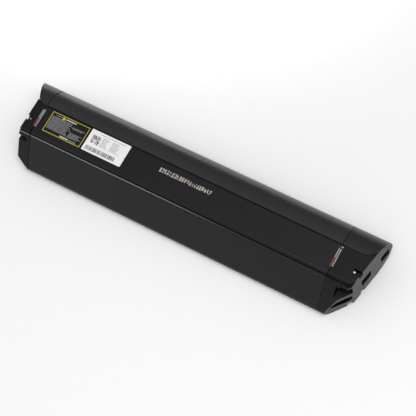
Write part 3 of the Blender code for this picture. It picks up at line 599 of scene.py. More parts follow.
# Each row: the material's name, its dark and light tones, and the range of its roughness, then the
# specular level of an anodised one, or the grain's fineness and bump, specular level, metal and stretch
ANODISED = {
    "housing": ("anodised_black", (0.0058, 0.0046, 0.0060), (0.0078, 0.0064, 0.0082), (0.36, 0.46), 0.23),
    "cover": ("anodised_cover", (0.0050, 0.0050, 0.0052), (0.0068, 0.0068, 0.0070), (0.275, 0.300), 0.55),
    "lip": ("anodised_lip", (0.0062, 0.0067, 0.0084), (0.0080, 0.0086, 0.0106), (0.13, 0.19), 0.60),
}
GRAINED = {
    "cap": ("moulded_black", (0.0040, 0.0036, 0.0042), (0.0058, 0.0054, 0.0060), (0.38, 0.48), 2400, 0.45,
            0.18),
    "cover_end": ("moulded_cover_end", (0.0052, 0.0052, 0.0054), (0.0070, 0.0070, 0.0072), (0.29, 0.32),
                  2400, 0.3, 0.46),
    # painted light: a lighter copy of the cap's plastic for faces that catch the light, which are the end
    # faces, the diagonal face and the left corner facet
    "painted_light_face": ("end_faces_painted_light", (0.018, 0.018, 0.019), (0.024, 0.024, 0.025), (0.40, 0.50), 2400, 0.45,
                 0.42),
    # painted shade: near-black for the sockets, the lock slot, the reliefs, the pocket's walls, the groove
    # and the seams' rounded edges
    "painted_shade": ("painted_shade_black", (0.0008, 0.0008, 0.0009), (0.0015, 0.0015, 0.0016), (0.55, 0.70), 2400,
               0.45, 0.05),
    # a much darker steel, used only for the second screw of each cap
    "dark_steel": ("darker_screw_steel", (0.030, 0.030, 0.032), (0.050, 0.050, 0.052), (0.35, 0.45),
                   2200, 0.2, 0.5, 1.0),
    "rubber": ("soft_black_rubber", (0.0070, 0.0070, 0.0072), (0.0110, 0.0110, 0.0112), (0.62, 0.78), 1800,
               0.35, 0.35),
    "film": ("notice_film", (0.005, 0.0055, 0.0055), (0.008, 0.0085, 0.0085), (0.28, 0.36), 900, 0.08,
             0.22),
    "paper": ("rating_paper", (0.78, 0.78, 0.785), (0.84, 0.84, 0.845), (0.42, 0.5), 1500, 0.12),
    "seal": ("seal_film", (0.009, 0.009, 0.0095), (0.012, 0.012, 0.0125), (0.3, 0.4), 900, 0.08),
    "yellow": ("yellow_ink", (0.44, 0.37, 0.020), (0.54, 0.45, 0.030), (0.35, 0.45), 1500, 0.05),
    "grey_ink": ("grey_ink", (0.22, 0.23, 0.25), (0.32, 0.33, 0.35), (0.35, 0.45), 1500, 0.05),
    "white_ink": ("white_ink", (0.48, 0.48, 0.48), (0.60, 0.60, 0.60), (0.4, 0.5), 1500, 0.05),
    "red_ink": ("red_ink", (0.50, 0.02, 0.025), (0.62, 0.035, 0.04), (0.35, 0.45), 1500, 0.05),
    "black_ink": ("black_ink", (0.012, 0.012, 0.013), (0.025, 0.025, 0.026), (0.4, 0.5), 1500, 0.05),
    "cream_ink": ("engraved_marks", (0.50, 0.46, 0.40), (0.66, 0.62, 0.55), (0.5, 0.6), 2500, 0.2),
    "steel": ("screw_steel", (0.36, 0.34, 0.31), (0.46, 0.44, 0.40), (0.26, 0.38), 2200, 0.2, 0.5, 1.0),
    "brass": ("contact_brass", (0.70, 0.50, 0.22), (0.85, 0.66, 0.34), (0.2, 0.34), 1800, 0.12, 0.5, 1.0),
    "nickel": ("nickel_strip", (0.58, 0.56, 0.50), (0.74, 0.72, 0.66), (0.24, 0.4), 900, 0.15, 0.5, 1.0,
               (0.3, 1.0, 1.0)),
    "spreader": ("heat_spreader", (0.62, 0.63, 0.64), (0.78, 0.79, 0.80), (0.3, 0.42), 1400, 0.2, 0.5, 1.0,
                 (1.0, 0.03, 1.0)),
    "wrap": ("cell_wrap", (0.02, 0.15, 0.26), (0.035, 0.20, 0.33), (0.25, 0.36), 500, 0.1),
    "holder": ("holder_plastic", (0.16, 0.16, 0.165), (0.21, 0.21, 0.215), (0.45, 0.58), 1500, 0.3),
    "red_wire": ("red_silicone", (0.42, 0.02, 0.015), (0.55, 0.03, 0.02), (0.5, 0.62), 1500, 0.2),
    "black_wire": ("black_silicone", (0.012, 0.012, 0.012), (0.02, 0.02, 0.02), (0.5, 0.62), 1500, 0.2),
    "sleeve": ("harness_sleeve", (0.50, 0.27, 0.02), (0.66, 0.38, 0.04), (0.35, 0.5), 800, 0.3, 0.5, 0.0,
               (0.2, 1.0, 1.0)),
    "foam": ("closed_cell_foam", (0.10, 0.10, 0.10), (0.17, 0.17, 0.17), (0.85, 0.95), 1300, 0.8),
    "lens": ("smoked_lens", (0.020, 0.020, 0.021), (0.028, 0.028, 0.030), (0.08, 0.14), 600, 0.04),
}
MATERIALS = {key: anodised(*row) for key, row in ANODISED.items()}
MATERIALS.update({key: grained(*row) for key, row in GRAINED.items()})
MATERIALS["board"] = board_mask("solder_mask")


# ---- Housing and cover

def build_housing():
    edge = SEAM_Y - SEAM_GAP / 2
    corners = [(edge, HEIGHT, SEAM_ROUND)] + groove_corners() + foot_corners() + [(edge, 0.0, SEAM_ROUND)]
    corners += [(edge, HOUSING_WALL, 0.45)] + list(reversed(inner_near_corners(HOUSING_WALL)))
    corners += [(edge, HEIGHT - HOUSING_WALL, 0.45)]
    low, high = LEFT_JOINT[1], RIGHT_JOINT[0]
    housing = soft_prism("housing_shell", filleted(corners), low, high, "x", "housing", 0.35)
    bosses = []
    holes = []
    for y, z, *_ in SCREWS:
        bosses.append(prism("boss", circle((y, z), 2.8), low + 0.4, high - 0.4, "x"))
        holes.append(prism("left_hole", circle((y, z), SCREW_HOLE), low - 1, SCREW_TIPS[0] + 1, "x"))
        holes.append(prism("right_hole", circle((y, z), SCREW_HOLE), SCREW_TIPS[1] - 1, high + 1, "x"))
    carve(housing, bosses, "UNION")
    carve(housing, holes)
    paint(housing, "lip", on_lip)
    # painted shade in the groove and on the seam's rounded edges
    paint(housing, "painted_shade", in_groove, at_seam)
    settle(housing, "anodised_black", "housing")


def build_side_cover():
    edge = SEAM_Y + SEAM_GAP / 2
    tongue_y = SEAM_Y - 6.0
    tongue_low, tongue_high = HOUSING_WALL + 0.2, HOUSING_WALL + 1.4
    limit = math.degrees(math.asin((HEIGHT / 2 - tongue_high) / (HEIGHT / 2 - COVER_WALL)))
    corners = [(edge, 0.0, 0.45)] + [(y, z, 0.0) for y, z in cover_arc(0.0, 86.0)] + [(edge, HEIGHT, 0.45)]
    corners += [(edge, HEIGHT - tongue_low, 0.2), (tongue_y, HEIGHT - tongue_low, 0.4),
                (tongue_y, HEIGHT - tongue_high, 0.4)]
    corners += [(y, z, 0.0) for y, z in reversed(cover_arc(COVER_WALL, limit, 48))]
    corners += [(tongue_y, tongue_high, 0.4), (tongue_y, tongue_low, 0.4), (edge, tongue_low, 0.2)]
    cover = soft_prism("side_cover_shell", filleted(corners), LEFT_JOINT[1], RIGHT_JOINT[0], "x",
                       "cover", 0.3)
    # painted shade on the seam's rounded edges
    paint(cover, "painted_shade", at_seam)
    settle(cover, "anodised_black", "side_cover")


# ---- Caps

PAST = 9.0          # how far a cutter runs on past an end face
PAST_SIDE = 70.0    # a Y that lies outside the pack on either side


def through(name, outline, margin=5):
    """A cutter with its outline in plan, through the whole height."""
    return prism(name, outline, -margin, HEIGHT + margin, "z")


def beyond_flare(seam, start, end_x, gap, side_y):
    """A cutter for everything on one side of a flared seam."""
    line = flare(*seam, gap)
    corners = [(end_x, line[-1][1]), (end_x, side_y), (start, side_y)]
    return through("beyond_seam", [(start, line[0][1])] + line + corners)


def away_from_foot(z):
    return not 1.0 < z < HEIGHT - 1.0


def socket_tool(low, high):
    """A rounded socket cutter, slanted with the end face, whose mouth widens in height."""
    middle = (low[0] + high[0]) / 2
    back_x, face_x, flare_by = 200.0, right_end_x(middle), 2.0
    rings = []
    for x, grow in ((back_x, 0.0), (face_x - flare_by, 0.0), (face_x, flare_by),
                    (face_x + PAST, flare_by + 0.01)):
        aside, up = 0.4 * grow, 1.6 * grow
        outline = rounded_box((low[0] - aside, low[1] - up), (high[0] + aside, high[1] + up), 0.8 + aside)
        rings.append([(x + (y - middle) * END_SKEW, y, z) for y, z in outline])
    return loft("socket", rings)


def channel_tools(side):
    """The notches for the screw heads, cut in from a cap's end, with rounded corners."""
    reach = LEFT_CAP_END - 20 if side == 2 else END_CORNER[0] + 5
    tools = []
    for index, screw in enumerate(SCREWS):
        if index == 1 and side == 3:
            continue
        y, z, seat = screw[0], screw[1], screw[side]
        low_z = -4.0 if index > 1 else z - CHANNEL_HALF
        high_z = HEIGHT + 4 if index == 0 else z + CHANNEL_HALF
        low_y = -60.0 if index == 1 else y - CHANNEL_HALF
        outline = rounded_box((low_y, low_z), (y + CHANNEL_HALF, high_z), 1.2)
        tools.append(prism("channel", outline, *sorted((seat, reach)), "x"))
    return tools


def screw_hole_tools(low, high):
    return [prism("screw_hole", circle(screw[:2], SCREW_HOLE, 24), low, high, "x") for screw in SCREWS]


def lock_slot_tool():
    """The long slot that the lock bolt enters, square to the diagonal face, with a bevelled mouth."""
    run = math.dist(DIAGONAL_END, DIAGONAL_NEAR)
    down = [(near - end) / run for near, end in zip(DIAGONAL_NEAR, DIAGONAL_END)]
    inward = (down[1], -down[0])
    outline = filleted(LOCK_SLOT)
    rings = []
    for depth, grow in ((LOCK_SLOT_DEPTH, 0.0), (0.45, 0.0), (0.0, 0.45), (-3.0, 0.46)):
        rings.append([(DIAGONAL_END[0] + s * down[0] + depth * inward[0],
                       DIAGONAL_END[1] + s * down[1] + depth * inward[1], z)
                      for s, z in inset(outline, -grow)])
    return loft("lock_slot", rings)


def corner_tool():
    """Rounds the label level's near corner in plan and leads the groove round it to the end face."""
    corners = filleted(groove_corners()[:-2] + [(-26.5, 50.0, 0.0), (-20.0, 70.0, 0.0)])
    profile = [(SHOULDER[0] - y, z) for y, z in corners[:-2]]
    mouth, outside = 4.33, 14.0
    rings = []
    for turn in [step / 24 for step in range(25)]:
        angle = math.radians(-91.0 + 84.0 * turn)
        narrow = 1.0 - 0.85 * turn ** 2
        points = [(CORNER_RADIUS + (reach - mouth) * (narrow if reach < mouth else 1.0), z)
                  for reach, z in profile]
        points += [(outside, 52.7), (outside, 61.0), (points[0][0], 61.0)]
        cos, sin = math.cos(angle), math.sin(angle)
        rings.append([(CORNER_CENTRE[0] + radius * cos, CORNER_CENTRE[1] + radius * sin, z)
                      for radius, z in points])
    return loft("corner_round", rings)


def right_end_plate():
    """The end plate, which reaches across into the cover's end, with relief gaps at its rim."""
    outline = full_section(CAP_WALL + 0.3)
    plate = loft("end_plate", [[(right_end_x(y) - reach, y, z) for y, z in inset(outline, depth)]
                               for depth, reach in ((0.0, END_WALL + 0.6), (0.0, 0.32), (0.3, 0.02))])
    carve(plate, [box("plate_near", (RIGHT_JOINT[1], -60, -5), (END_CORNER[0] + PAST, 11.3, HEIGHT + 5))])
    centre, radii = (SEAM_Y, HEIGHT / 2), (COVER_REACH - CAP_WALL, HEIGHT / 2 - CAP_WALL)
    inner, outer = [(radii[0] + reach, radii[1] + reach) for reach in (-1.6, 0.6)]
    reliefs = []
    for angle in (46.0, -46.0):
        outline = arc(centre, inner, angle - 5, angle + 5, 6) + arc(centre, outer, angle + 5, angle - 5, 6)
        reliefs.append(prism("relief", outline, 215, END_CORNER[0] + 8, "x"))
    reliefs.append(box("relief", (214.3, 18.37, 1.73), (END_CORNER[0] + 8, 29.43, 4.27)))
    return carve(plate, reliefs)


def right_cap_hollow():
    """The cap's inside, less the towers that carry two of the screws."""
    start = RIGHT_JOINT[1]
    hollow = prism("hollow", full_section(CAP_WALL), start - 5, END_CORNER[0] + PAST, "x")
    keep = [(start - 4, -60), (start + 4.6, -60), (start + 4.6, -15), (right_end_x(-15) - END_WALL, -15),
            (right_end_x(60) - END_WALL, 60), (start - 4, 60)]
    carve(hollow, [through("keep", keep, 6)], "INTERSECT")
    spans = ((SCREWS[0][0], UPPER_TOWER_FOOT, HEIGHT + 8), (SCREWS[3][0], -8, LOWER_TOWER_TOP))
    return carve(hollow, [box("tower", (start - 10, y - TOWER_HALF, low),
                              (END_CORNER[0] + 10, y + TOWER_HALF, high)) for y, low, high in spans])


def build_right_end():
    start, far_x = RIGHT_JOINT[1], END_CORNER[0] + PAST

    # Cap: everything on the near side of the flared seam
    cap = swept_end("cap_right_shell", full_section(), start, right_end_x, 1, "cap")
    diagonal = [(diagonal_x(-PAST_SIDE), -PAST_SIDE), (diagonal_x(0), 0), (diagonal_x(0) + PAST, 0),
                (diagonal_x(0) + PAST, -PAST_SIDE)]
    carve(cap, [through("diagonal", diagonal)])
    carve(cap, [beyond_flare(FLARE_RIGHT, start - 5, far_x, -SEAM_GAP / 2, PAST_SIDE)])
    soften(cap, lambda x, y, z: y > SEAM_Y - 1.0 and away_from_foot(z), 0.5)
    carve(cap, [right_end_plate()], "UNION")
    carve(cap, [right_cap_hollow()])

    # Corner, pocket, slot, sockets and screw notches
    carve(cap, [corner_tool()])
    scoop = rounded_box((SCOOP_LOW[0], SCOOP_LOW[2]), (SCOOP_HIGH[0] + PAST, SCOOP_HIGH[2]), 1.6)
    carve(cap, [prism("scoop", scoop, SCOOP_LOW[1], SCOOP_HIGH[1], "y")])
    carve(cap, [lock_slot_tool()])
    carve(cap, [socket_tool(*SOCKET_NEAR), socket_tool(*SOCKET_FAR)])
    carve(cap, channel_tools(3))
    carve(cap, screw_hole_tools(start - 2, SCREWS[3][3] + 2))
    # painted light on the end face and the diagonal face; painted shade in the openings, on the flared
    # seam's edges and in the groove
    paint(cap, "painted_light_face", on_right_end, on_diagonal)
    paint(cap, "painted_shade", in_socket, in_lock_slot, in_relief, in_scoop, at_flare, in_groove)
    settle(cap, "black_plastic", "end_cap_right")

    # Cover end: a half-round shell open at the end
    shell = swept_end("cover_end_right_shell", cover_section(), start, right_end_x, 1, "cover_end")
    carve(shell, [beyond_flare(FLARE_RIGHT, start - 5, far_x, SEAM_GAP / 2, -PAST_SIDE)])
    carve(shell, [prism("bore", full_section(CAP_WALL), start - 5, far_x, "x")])
    soften(shell, lambda x, y, z: y < SEAM_Y + 11.0 and away_from_foot(z) and x > start + 1, 0.35)
    settle(shell, "black_plastic", "cover_end_right")


def left_cap_hollow():
    """The cap's inside, less the towers that carry the screws."""
    start, low_x = LEFT_JOINT[0], LEFT_CAP_END - 1
    hollow = prism("hollow", full_section(CAP_WALL), LEFT_CAP_END + LEFT_END_WALL, start + 5, "x")
    spans = ((SCREWS[0][0] - TOWER_HALF, UPPER_TOWER_FOOT, SCREWS[0][0] + TOWER_HALF, HEIGHT + 8),
             (SCREWS[2][0] - TOWER_HALF, -8, SCREWS[3][0] + TOWER_HALF, LOWER_TOWER_TOP),
             (-60, 42.6, SCREWS[1][0] + 5.0, HEIGHT + 9))
    return carve(hollow, [box("tower", (low_x, low_y, low_z), (start + 10, high_y, high_z))
                          for low_y, low_z, high_y, high_z in spans])


def cut_left_openings(cap):
    """The flap's pocket and pin hole, and the eased holes for the port, the button and the gauge."""
    port_y, port_z = PORT
    pocket = rounded_box((port_y - 10.9, port_z - POCKET_HALF), (HINGE[1] + 1.8, port_z + POCKET_HALF), 0.8)
    carve(cap, [prism("pocket", pocket, LEFT_CAP_END - 3, POCKET_FLOOR, "x")])
    (low_y, low_z), (high_y, high_z) = GAUGE
    window = rounded_box((low_y - 0.3, low_z - 0.3), (high_y + 0.3, high_z + 0.3), 0.9)
    for outline, face, eased in ((circle(PORT, 7.75, 48), POCKET_FLOOR, 0.2),
                                 (circle(BUTTON, BUTTON_RADIUS + 0.3, 48), LEFT_CAP_END, 0.5),
                                 (window, LEFT_CAP_END, 0.3)):
        mouth = ((LEFT_CAP_END + PAST, 0.0), (face + eased, 0.0), (face, eased), (face - 4, eased))
        rings = [[(x, y, z) for y, z in inset(outline, -grow)] for x, grow in mouth]
        carve(cap, [loft("opening", rings)])
    carve(cap, [prism("pin_hole", circle(HINGE, 0.62, 16), port_z - 12.2, port_z + 12.2, "z")])


def build_left_end():
    start = LEFT_JOINT[0]
    (cut_end_x, cut_end_y), (cut_seam_x, cut_seam_y) = LEFT_CUT
    slope = (cut_seam_y - cut_end_y) / (cut_seam_x - cut_end_x)

    # Cap: cut off at its near corner, with a rounded top edge at the end
    cap = swept_end("cap_left_shell", full_section(), start, lambda y: LEFT_CAP_END, -1, "cap")
    corner = [(LEFT_CAP_END - PAST, cut_end_y - PAST * slope),
              (start + PAST, cut_end_y + (start + PAST - cut_end_x) * slope),
              (start + PAST, -PAST_SIDE), (LEFT_CAP_END - PAST, -PAST_SIDE)]
    carve(cap, [beyond_flare(FLARE_LEFT, start + 5, LEFT_CAP_END - PAST, -SEAM_GAP / 2, PAST_SIDE)])
    carve(cap, [through("corner_cut", corner)])
    soften(cap, lambda x, y, z: abs(y - cut_end_y - (x - cut_end_x) * slope) < 0.02, 0.4)
    soften(cap, lambda x, y, z: y > SEAM_Y - 1.0 and away_from_foot(z), 0.3)
    crown = [(LEFT_CAP_END - 5, 44.0)] + arc((LEFT_CAP_END + 1.7, 46.5), (-1.7, 12.2), 0, 90, 10)
    crown += [(LEFT_CAP_END + 1.7, HEIGHT + 5), (LEFT_CAP_END - 5, HEIGHT + 5)]
    carve(cap, [prism("crown", crown, -PAST_SIDE, PAST_SIDE, "y")])
    carve(cap, [left_cap_hollow()])
    carve(cap, channel_tools(2))
    carve(cap, screw_hole_tools(SCREWS[0][2] - 2, start + 2))
    cut_left_openings(cap)
    paint(cap, "lip", on_lip)
    # painted light on the corner facet at the foot
    paint(cap, "painted_light_face", on_left_facet)
    settle(cap, "black_plastic", "end_cap_left")

    # Cover end: a closed half-round nose with a slanted tip
    shell = swept_end("cover_end_left_shell", cover_section(), start, left_cover_x, -1, "cover_end")
    carve(shell, [beyond_flare(FLARE_LEFT, start + 5, -240, SEAM_GAP / 2, -PAST_SIDE)])
    hollow = prism("hollow", full_section(CAP_WALL), -237, start + 5, "x")
    wall = END_WALL * 1.14
    keep = [(start + 4, 14), (left_cover_x(14) + wall, 14), (left_cover_x(60) + wall, 60), (start + 4, 60)]
    carve(hollow, [through("keep", keep, 6)], "INTERSECT")
    carve(shell, [hollow])
    soften(shell, lambda x, y, z: y < SEAM_Y + 7.0 and away_from_foot(z) and x < start - 1, 0.35)
    settle(shell, "black_plastic", "cover_end_left")


def build_gaskets():
    """Soft rings in the joints between housing and caps, just below the surface."""
    for word, (low, high), depth in (("left", LEFT_JOINT, 0.3), ("right", RIGHT_JOINT, 0.06)):
        gap = (high - low) * depth * 0.6
        coat = "rubber" if word == "left" else "cap"
        gasket = prism(f"joint_ring_{word}", full_section(depth), low + gap, high - gap, "x", coat)
        carve(gasket, [prism("window", full_section(HOUSING_WALL + 0.1), low - 1, high + 1, "x")])
        settle(gasket, "black_rubber", f"gasket_{word}")


def build_seam_seals():
    """Soft seals in the long seams and in the flared ones over the caps."""
    half = SEAM_GAP / 2 - 0.08
    shallow, deep = SEAL_DEPTHS
    for word, low, high in (("bottom", shallow, deep), ("top", HEIGHT - deep, HEIGHT - shallow)):
        outline = rounded_box((SEAM_Y - half, low), (SEAM_Y + half, high), 0.12)
        seal = prism(f"seam_seal_{word}", outline, LEFT_JOINT[1], RIGHT_JOINT[0], "x", "rubber")
        settle(seal, "black_rubber", f"seam_strip_{word}")
    for word, seam, first, last in (("left", FLARE_LEFT, -200.4, FLARE_LEFT[1] + 0.4),
                                    ("right", FLARE_RIGHT, 185.7, FLARE_RIGHT[1] - 4.0)):
        points = [(first, SEAM_Y)] + [point for point in flare(*seam, 0.0) if abs(point[0]) < abs(last)]
        near = [(x, y - half) for x, y in points]
        far = [(x, y + half) for x, y in points]
        seal = prism(f"flare_seal_{word}", near + far[::-1], 1.6, HEIGHT - 1.6, "z", "rubber")
        settle(seal, "black_rubber")


# ---- Screws

def build_screws():
    """Socket-head screws with knurled heads and a cut thread at the tip."""
    pitch, thread_root = 0.5, 1.22

    def shape(x, angle, radius):
        if radius == SHANK and (thread_end - x) * out > 0:
            turn = ((x - tip) / pitch - angle / (2 * math.pi)) % 1.0
            return thread_root + (SHANK - thread_root) * (1 - abs(2 * turn - 1))
        if radius == HEAD:
            return HEAD - 0.09 * (0.5 + 0.5 * math.cos(24 * angle))
        if radius == HEX_MOUTH:
            return 1.25 / math.cos((angle + math.pi / 6) % (math.pi / 3) - math.pi / 6)
        return radius

    for side, word, out in ((2, "left", -1), (3, "right", 1)):
        tip = SCREW_TIPS[side - 2]
        thread_end = tip + out * 12.0
        for number, screw in enumerate(SCREWS, start=1):
            seat = screw[side] + out * 0.15
            head = seat + out * 2.5
            profile = [(tip, 0.5), (tip, 1.0)]
            profile += [(tip + out * 0.125 * row, SHANK) for row in range(2, 97)]
            profile += [(tip + out * 12.4, SHANK), (seat, SHANK), (seat, 2.6), (seat + out * 0.15, HEAD),
                        (head - out * 0.5, HEAD), (head - out * 0.15, 2.6), (head, 2.25), (head, HEX_MOUTH),
                        (head - out * 1.4, HEX_MOUTH), (head - out * 1.7, 0.3)]
            coat = "dark_steel" if number == 2 else "steel"
            item = turned(f"socket_screw_{word}_{number}", profile, screw[:2], coat, 48, shape)
            settle(item, "screw_steel", f"cap_screw_{word}_{number}", sharp=28.0)


# ---- Labels and marks

FILM_TOP = HEIGHT + 0.14
INK = (FILM_TOP + 0.01, HEIGHT + 0.19)      # the levels between which ink lies on a film


def stamp(name, marks, coat, slot, levels=INK):
    """Printed marks as one thin piece: (x0, y0, x1, y1) rectangles or ready outlines."""
    verts, faces = [], []
    for mark in marks:
        outline = mark if isinstance(mark[0], tuple) else rectangle(*mark)
        count, start = len(outline), len(verts)
        verts += [(x, y, z) for z in levels for x, y in outline]
        faces += [list(range(first, first + count)) for first in (start, start + count)]
        faces += band(start, start + count, count)
    return settle(make(name, verts, faces, coat), slot)


def words(rng, low, high, y, height, short=0.7, long=2.6, gap=0.55):
    """A row of plain bars, as unreadable small print."""
    marks = []
    x = low
    while x < high - short:
        run = min(rng.uniform(short, long), high - x)
        marks.append((x, y - height / 2, x + run, y + height / 2))
        x += run + gap
    return marks


def sheet(name, low, high, coat, slot, node):
    film = soft_prism(name, rounded_box(low, high, 0.8), HEIGHT + 0.02, FILM_TOP, "z", coat, 0.04)
    settle(film, slot, node)


def build_notice_label():
    rng = random.Random(11)
    low, high = (-188.2, -12.9), (-136.7, 14.5)
    sheet("notice_film_sheet", low, high, "film", "label_film", "notice_label")
    outer = rounded_box((low[0] + 0.35, low[1] + 0.35), (high[0] - 0.35, high[1] - 0.35), 0.7)
    inner = inset(outer, 0.75)
    count = len(outer)
    verts = [(x, y, z) for z in INK for ring in (outer, inner) for x, y in ring]
    faces = []
    for first, second in ((0, 1), (2, 3), (0, 2), (1, 3)):
        faces += band(first * count, second * count, count)
    border = make("notice_border", verts, faces, "yellow")
    settle(border, "label_film")
    stamp("notice_badge", [circle((-171.6, 10.8), 1.9, 32)], "yellow", "label_film")
    heading = words(rng, -168.5, -154.5, 11.2, 1.5, 2.0, 4.0, 0.5)
    heading += words(rng, -165.0, -154.0, -10.2, 1.7, 1.8, 3.2, 0.5)
    stamp("notice_heading", heading, "white_ink", "label_film")
    rows, line_step = [], 1.42
    for row in range(12):
        y = 8.6 - line_step * row
        rows += words(rng, -185.8, -158.0 + rng.uniform(-3, 1.5), y, 0.72)
        if row not in (0, 1, 4, 5, 6):
            rows += words(rng, -156.5, -139.6 - rng.uniform(0, 4), y, 0.72)
    rows += words(rng, -182.0, -173.5, 11.2, 0.8)
    rows += [(x, -11.2, x + 1.5, -9.7) for x in (-152.6, -150.2, -147.8, -145.4)]
    stamp("notice_small_print", rows, "grey_ink", "label_film")


def build_rating_label():
    rng = random.Random(23)
    low, high = (-134.2, -12.8), (-82.0, 15.3)
    sheet("rating_paper_sheet", low, high, "paper", "label_paper", "rating_label")
    marks = []
    cell, filled = 0.75, 0.52
    for column in range(14):
        for row in range(14):
            if rng.random() < filled:
                x, y = -129.3 + cell * column, -1.3 + cell * row
                marks.append((x, y, x + cell * 0.98, y + cell * 0.98))
    x = -131.0
    while x < -92.5:
        width = rng.choice((0.35, 0.5, 0.8, 1.1))
        marks.append((x, -10.6, x + width, -5.4))
        x += width + rng.choice((0.35, 0.5, 0.9))
    stamp("rating_codes", marks, "black_ink", "label_paper")
    rows, line_step = words(rng, -122.0, -88.0, 12.6, 0.6), 1.75
    for row in range(7):
        y = 9.6 - line_step * row
        rows += words(rng, -116.5, -108.0 + rng.uniform(-2, 1), y, 0.75)
        rows += words(rng, -103.5, -90.0 + rng.uniform(-5, 1), y, 0.75)
    stamp("rating_small_print", rows, "grey_ink", "label_paper")


def build_seals():
    rng = random.Random(5)
    for word, low, high, lines in (
            ("left", (-201.3, -12.6), (-196.1, 11.7), (-199.55, -197.55)),
            ("right", (182.7, -11.4), (188.0, 14.9), (184.3, 186.4))):
        sheet(f"seal_{word}_sheet", low, high, "seal", "seal_film", f"seal_sticker_{word}")
        red, white = [], []
        for index, line in enumerate(lines):
            runs = [(line - 0.4, bar[0], line + 0.4, bar[2])
                    for bar in words(rng, low[1] + 0.9, 11.2, 0.0, 1.0, 0.7, 1.5, 0.34)]
            for run in runs:
                (red if index == 0 and run[3] < 0.4 else white).append(run)
        if word == "right":
            white.append(circle((186.6, 13.4), 0.75, 20))
        stamp(f"seal_{word}_red", red, "red_ink", "seal_film")
        stamp(f"seal_{word}_white", white, "white_ink", "seal_film")


def build_part_marks():
    """A row of dot-matrix marks on the label face, with no readable characters."""
    rng = random.Random(7)
    marks = []
    glyphs, low, high, filled = 21, -38.7, 28.7, 0.62
    step = (high - low) / glyphs
    for glyph in range(glyphs):
        for column in range(3):
            for row in range(5):
                if rng.random() < filled:
                    x = low + glyph * step + column * 0.70
                    y = 2.85 + row * 1.04
                    marks.append((x, y, x + 0.62, y + 0.94))
    stamp("part_marks", marks, "cream_ink", "label_paper", (HEIGHT + 0.01, HEIGHT + 0.06))


# ---- Left end controls

def build_flap():
    """The rubber flap over the charge port, with its pin."""
    port_y, port_z = PORT
    hinge_x, hinge_y = HINGE
    low_z, high_z = port_z - FLAP_HALF, port_z + FLAP_HALF
    plate = filleted([(port_y - 10.4, low_z, 2.2), (hinge_y - 1.6, low_z, 0.5), (hinge_y - 1.6, high_z, 0.5),
                      (port_y - 10.4, high_z, 2.2)], 6)
    flap = soft_prism("flap_cover", plate, LEFT_CAP_END + 0.3, POCKET_FLOOR - 0.3, "x", "rubber", 0.45, 3)
    arm = rectangle(hinge_x - 0.8, hinge_y - 2.4, hinge_x + 0.8, hinge_y - 0.2)
    plug = circle(PORT, 4.4, 40)
    joins = [prism("barrel", circle(HINGE, 1.1, 24), port_z - 7.0, port_z + 7.0, "z"),
             prism("arm", arm, port_z - 7.0, port_z + 7.0, "z"),
             soft_prism("plug", plug, POCKET_FLOOR - 0.8, POCKET_FLOOR + 1.2, "x", None, 0.35)]
    for index in range(3):
        low_y = port_y - 8.4 + 1.3 * index
        rib = rounded_box((low_y, port_z - 5.0), (low_y + 0.6, port_z + 5.0), 0.28)
        joins.append(soft_prism("rib", rib, LEFT_CAP_END + 0.08, LEFT_CAP_END + 0.6, "x", None, 0.1))
    carve(flap, joins, "UNION")
    carve(flap, [prism("pin_hole", circle(HINGE, 0.6, 20), port_z - 9.0, port_z + 9.0, "z")])
    settle(flap, "black_rubber", "charge_flap", body="charge_flap")
    pin = soft_prism("flap_pin", circle(HINGE, 0.5, 20), port_z - 11.8, port_z + 11.8, "z", "steel", 0.12)
    settle(pin, "screw_steel", "flap_hinge_pin")


def build_button():
    face = LEFT_CAP_END + 0.2
    dome = arc((face + 0.9, BUTTON_RADIUS - 0.9), (-0.9, 0.9), 90, 0, 6)
    profile = [(-205.0, 0.3), (-205.0, 3.0), (-207.0, 3.0), (-207.0, 6.4), (-208.2, 6.4)]
    profile += [(-208.2, BUTTON_RADIUS)] + dome
    profile += [(face, 3.5), (face + 0.15, 3.3), (face + 0.5, 3.0), (face + 0.5, 2.2), (face + 0.35, 1.0),
                (face + 0.3, 0.2)]
    button = turned("button_cap", profile, BUTTON, "rubber", 64)
    settle(button, "black_rubber", "power_button", body="power_button")


def build_charge_socket():
    profile = [(-196.5, 0.3), (-196.5, 7.5), (-206.3, 7.5), (-206.3, 9.8), (-206.5, 10.0), (-208.0, 10.0),
               (-208.2, 9.8), (-208.2, 7.5), (-211.7, 7.5), (-211.9, 7.3), (-211.9, 5.6), (-211.6, 5.2),
               (-199.9, 5.2), (-199.9, 0.3)]
    socket = turned("charge_socket_body", profile, PORT, "cap", 64)
    settle(socket, "black_plastic", "charge_socket")
    profile = [(-200.2, 0.2), (-200.2, 1.0), (-204.2, 1.0), (-204.8, 0.75), (-205.0, 0.3)]
    pin = turned("charge_contact", profile, PORT, "brass", 32)
    settle(pin, "contact_brass", "charge_pin")


def build_gauge():
    """The smoked window with its five lamp marks."""
    window = rounded_box(*GAUGE, 0.7)
    lens = soft_prism("gauge_window", window, LEFT_CAP_END + 0.2, -205.0, "x", "lens", 0.25)
    settle(lens, "gauge_plastic", "gauge_lens")
    lamps = []
    (low_y, _), (high_y, _) = GAUGE
    for index in range(5):
        centre_y = low_y + (high_y - low_y) * (index + 0.5) / 5
        outline = rounded_box((centre_y - 1.2, 14.0), (centre_y + 1.2, 15.0), 0.4)
        lamps.append(prism("lamp", outline, LEFT_CAP_END + 0.12, LEFT_CAP_END + 0.25, "x"))
    lamps[0].data.materials.append(MATERIALS["white_ink"])
    marks = carve(lamps[0], lamps[1:], "UNION")
    marks.name = "gauge_lamps"
    settle(marks, "gauge_plastic")


# ---- Inside

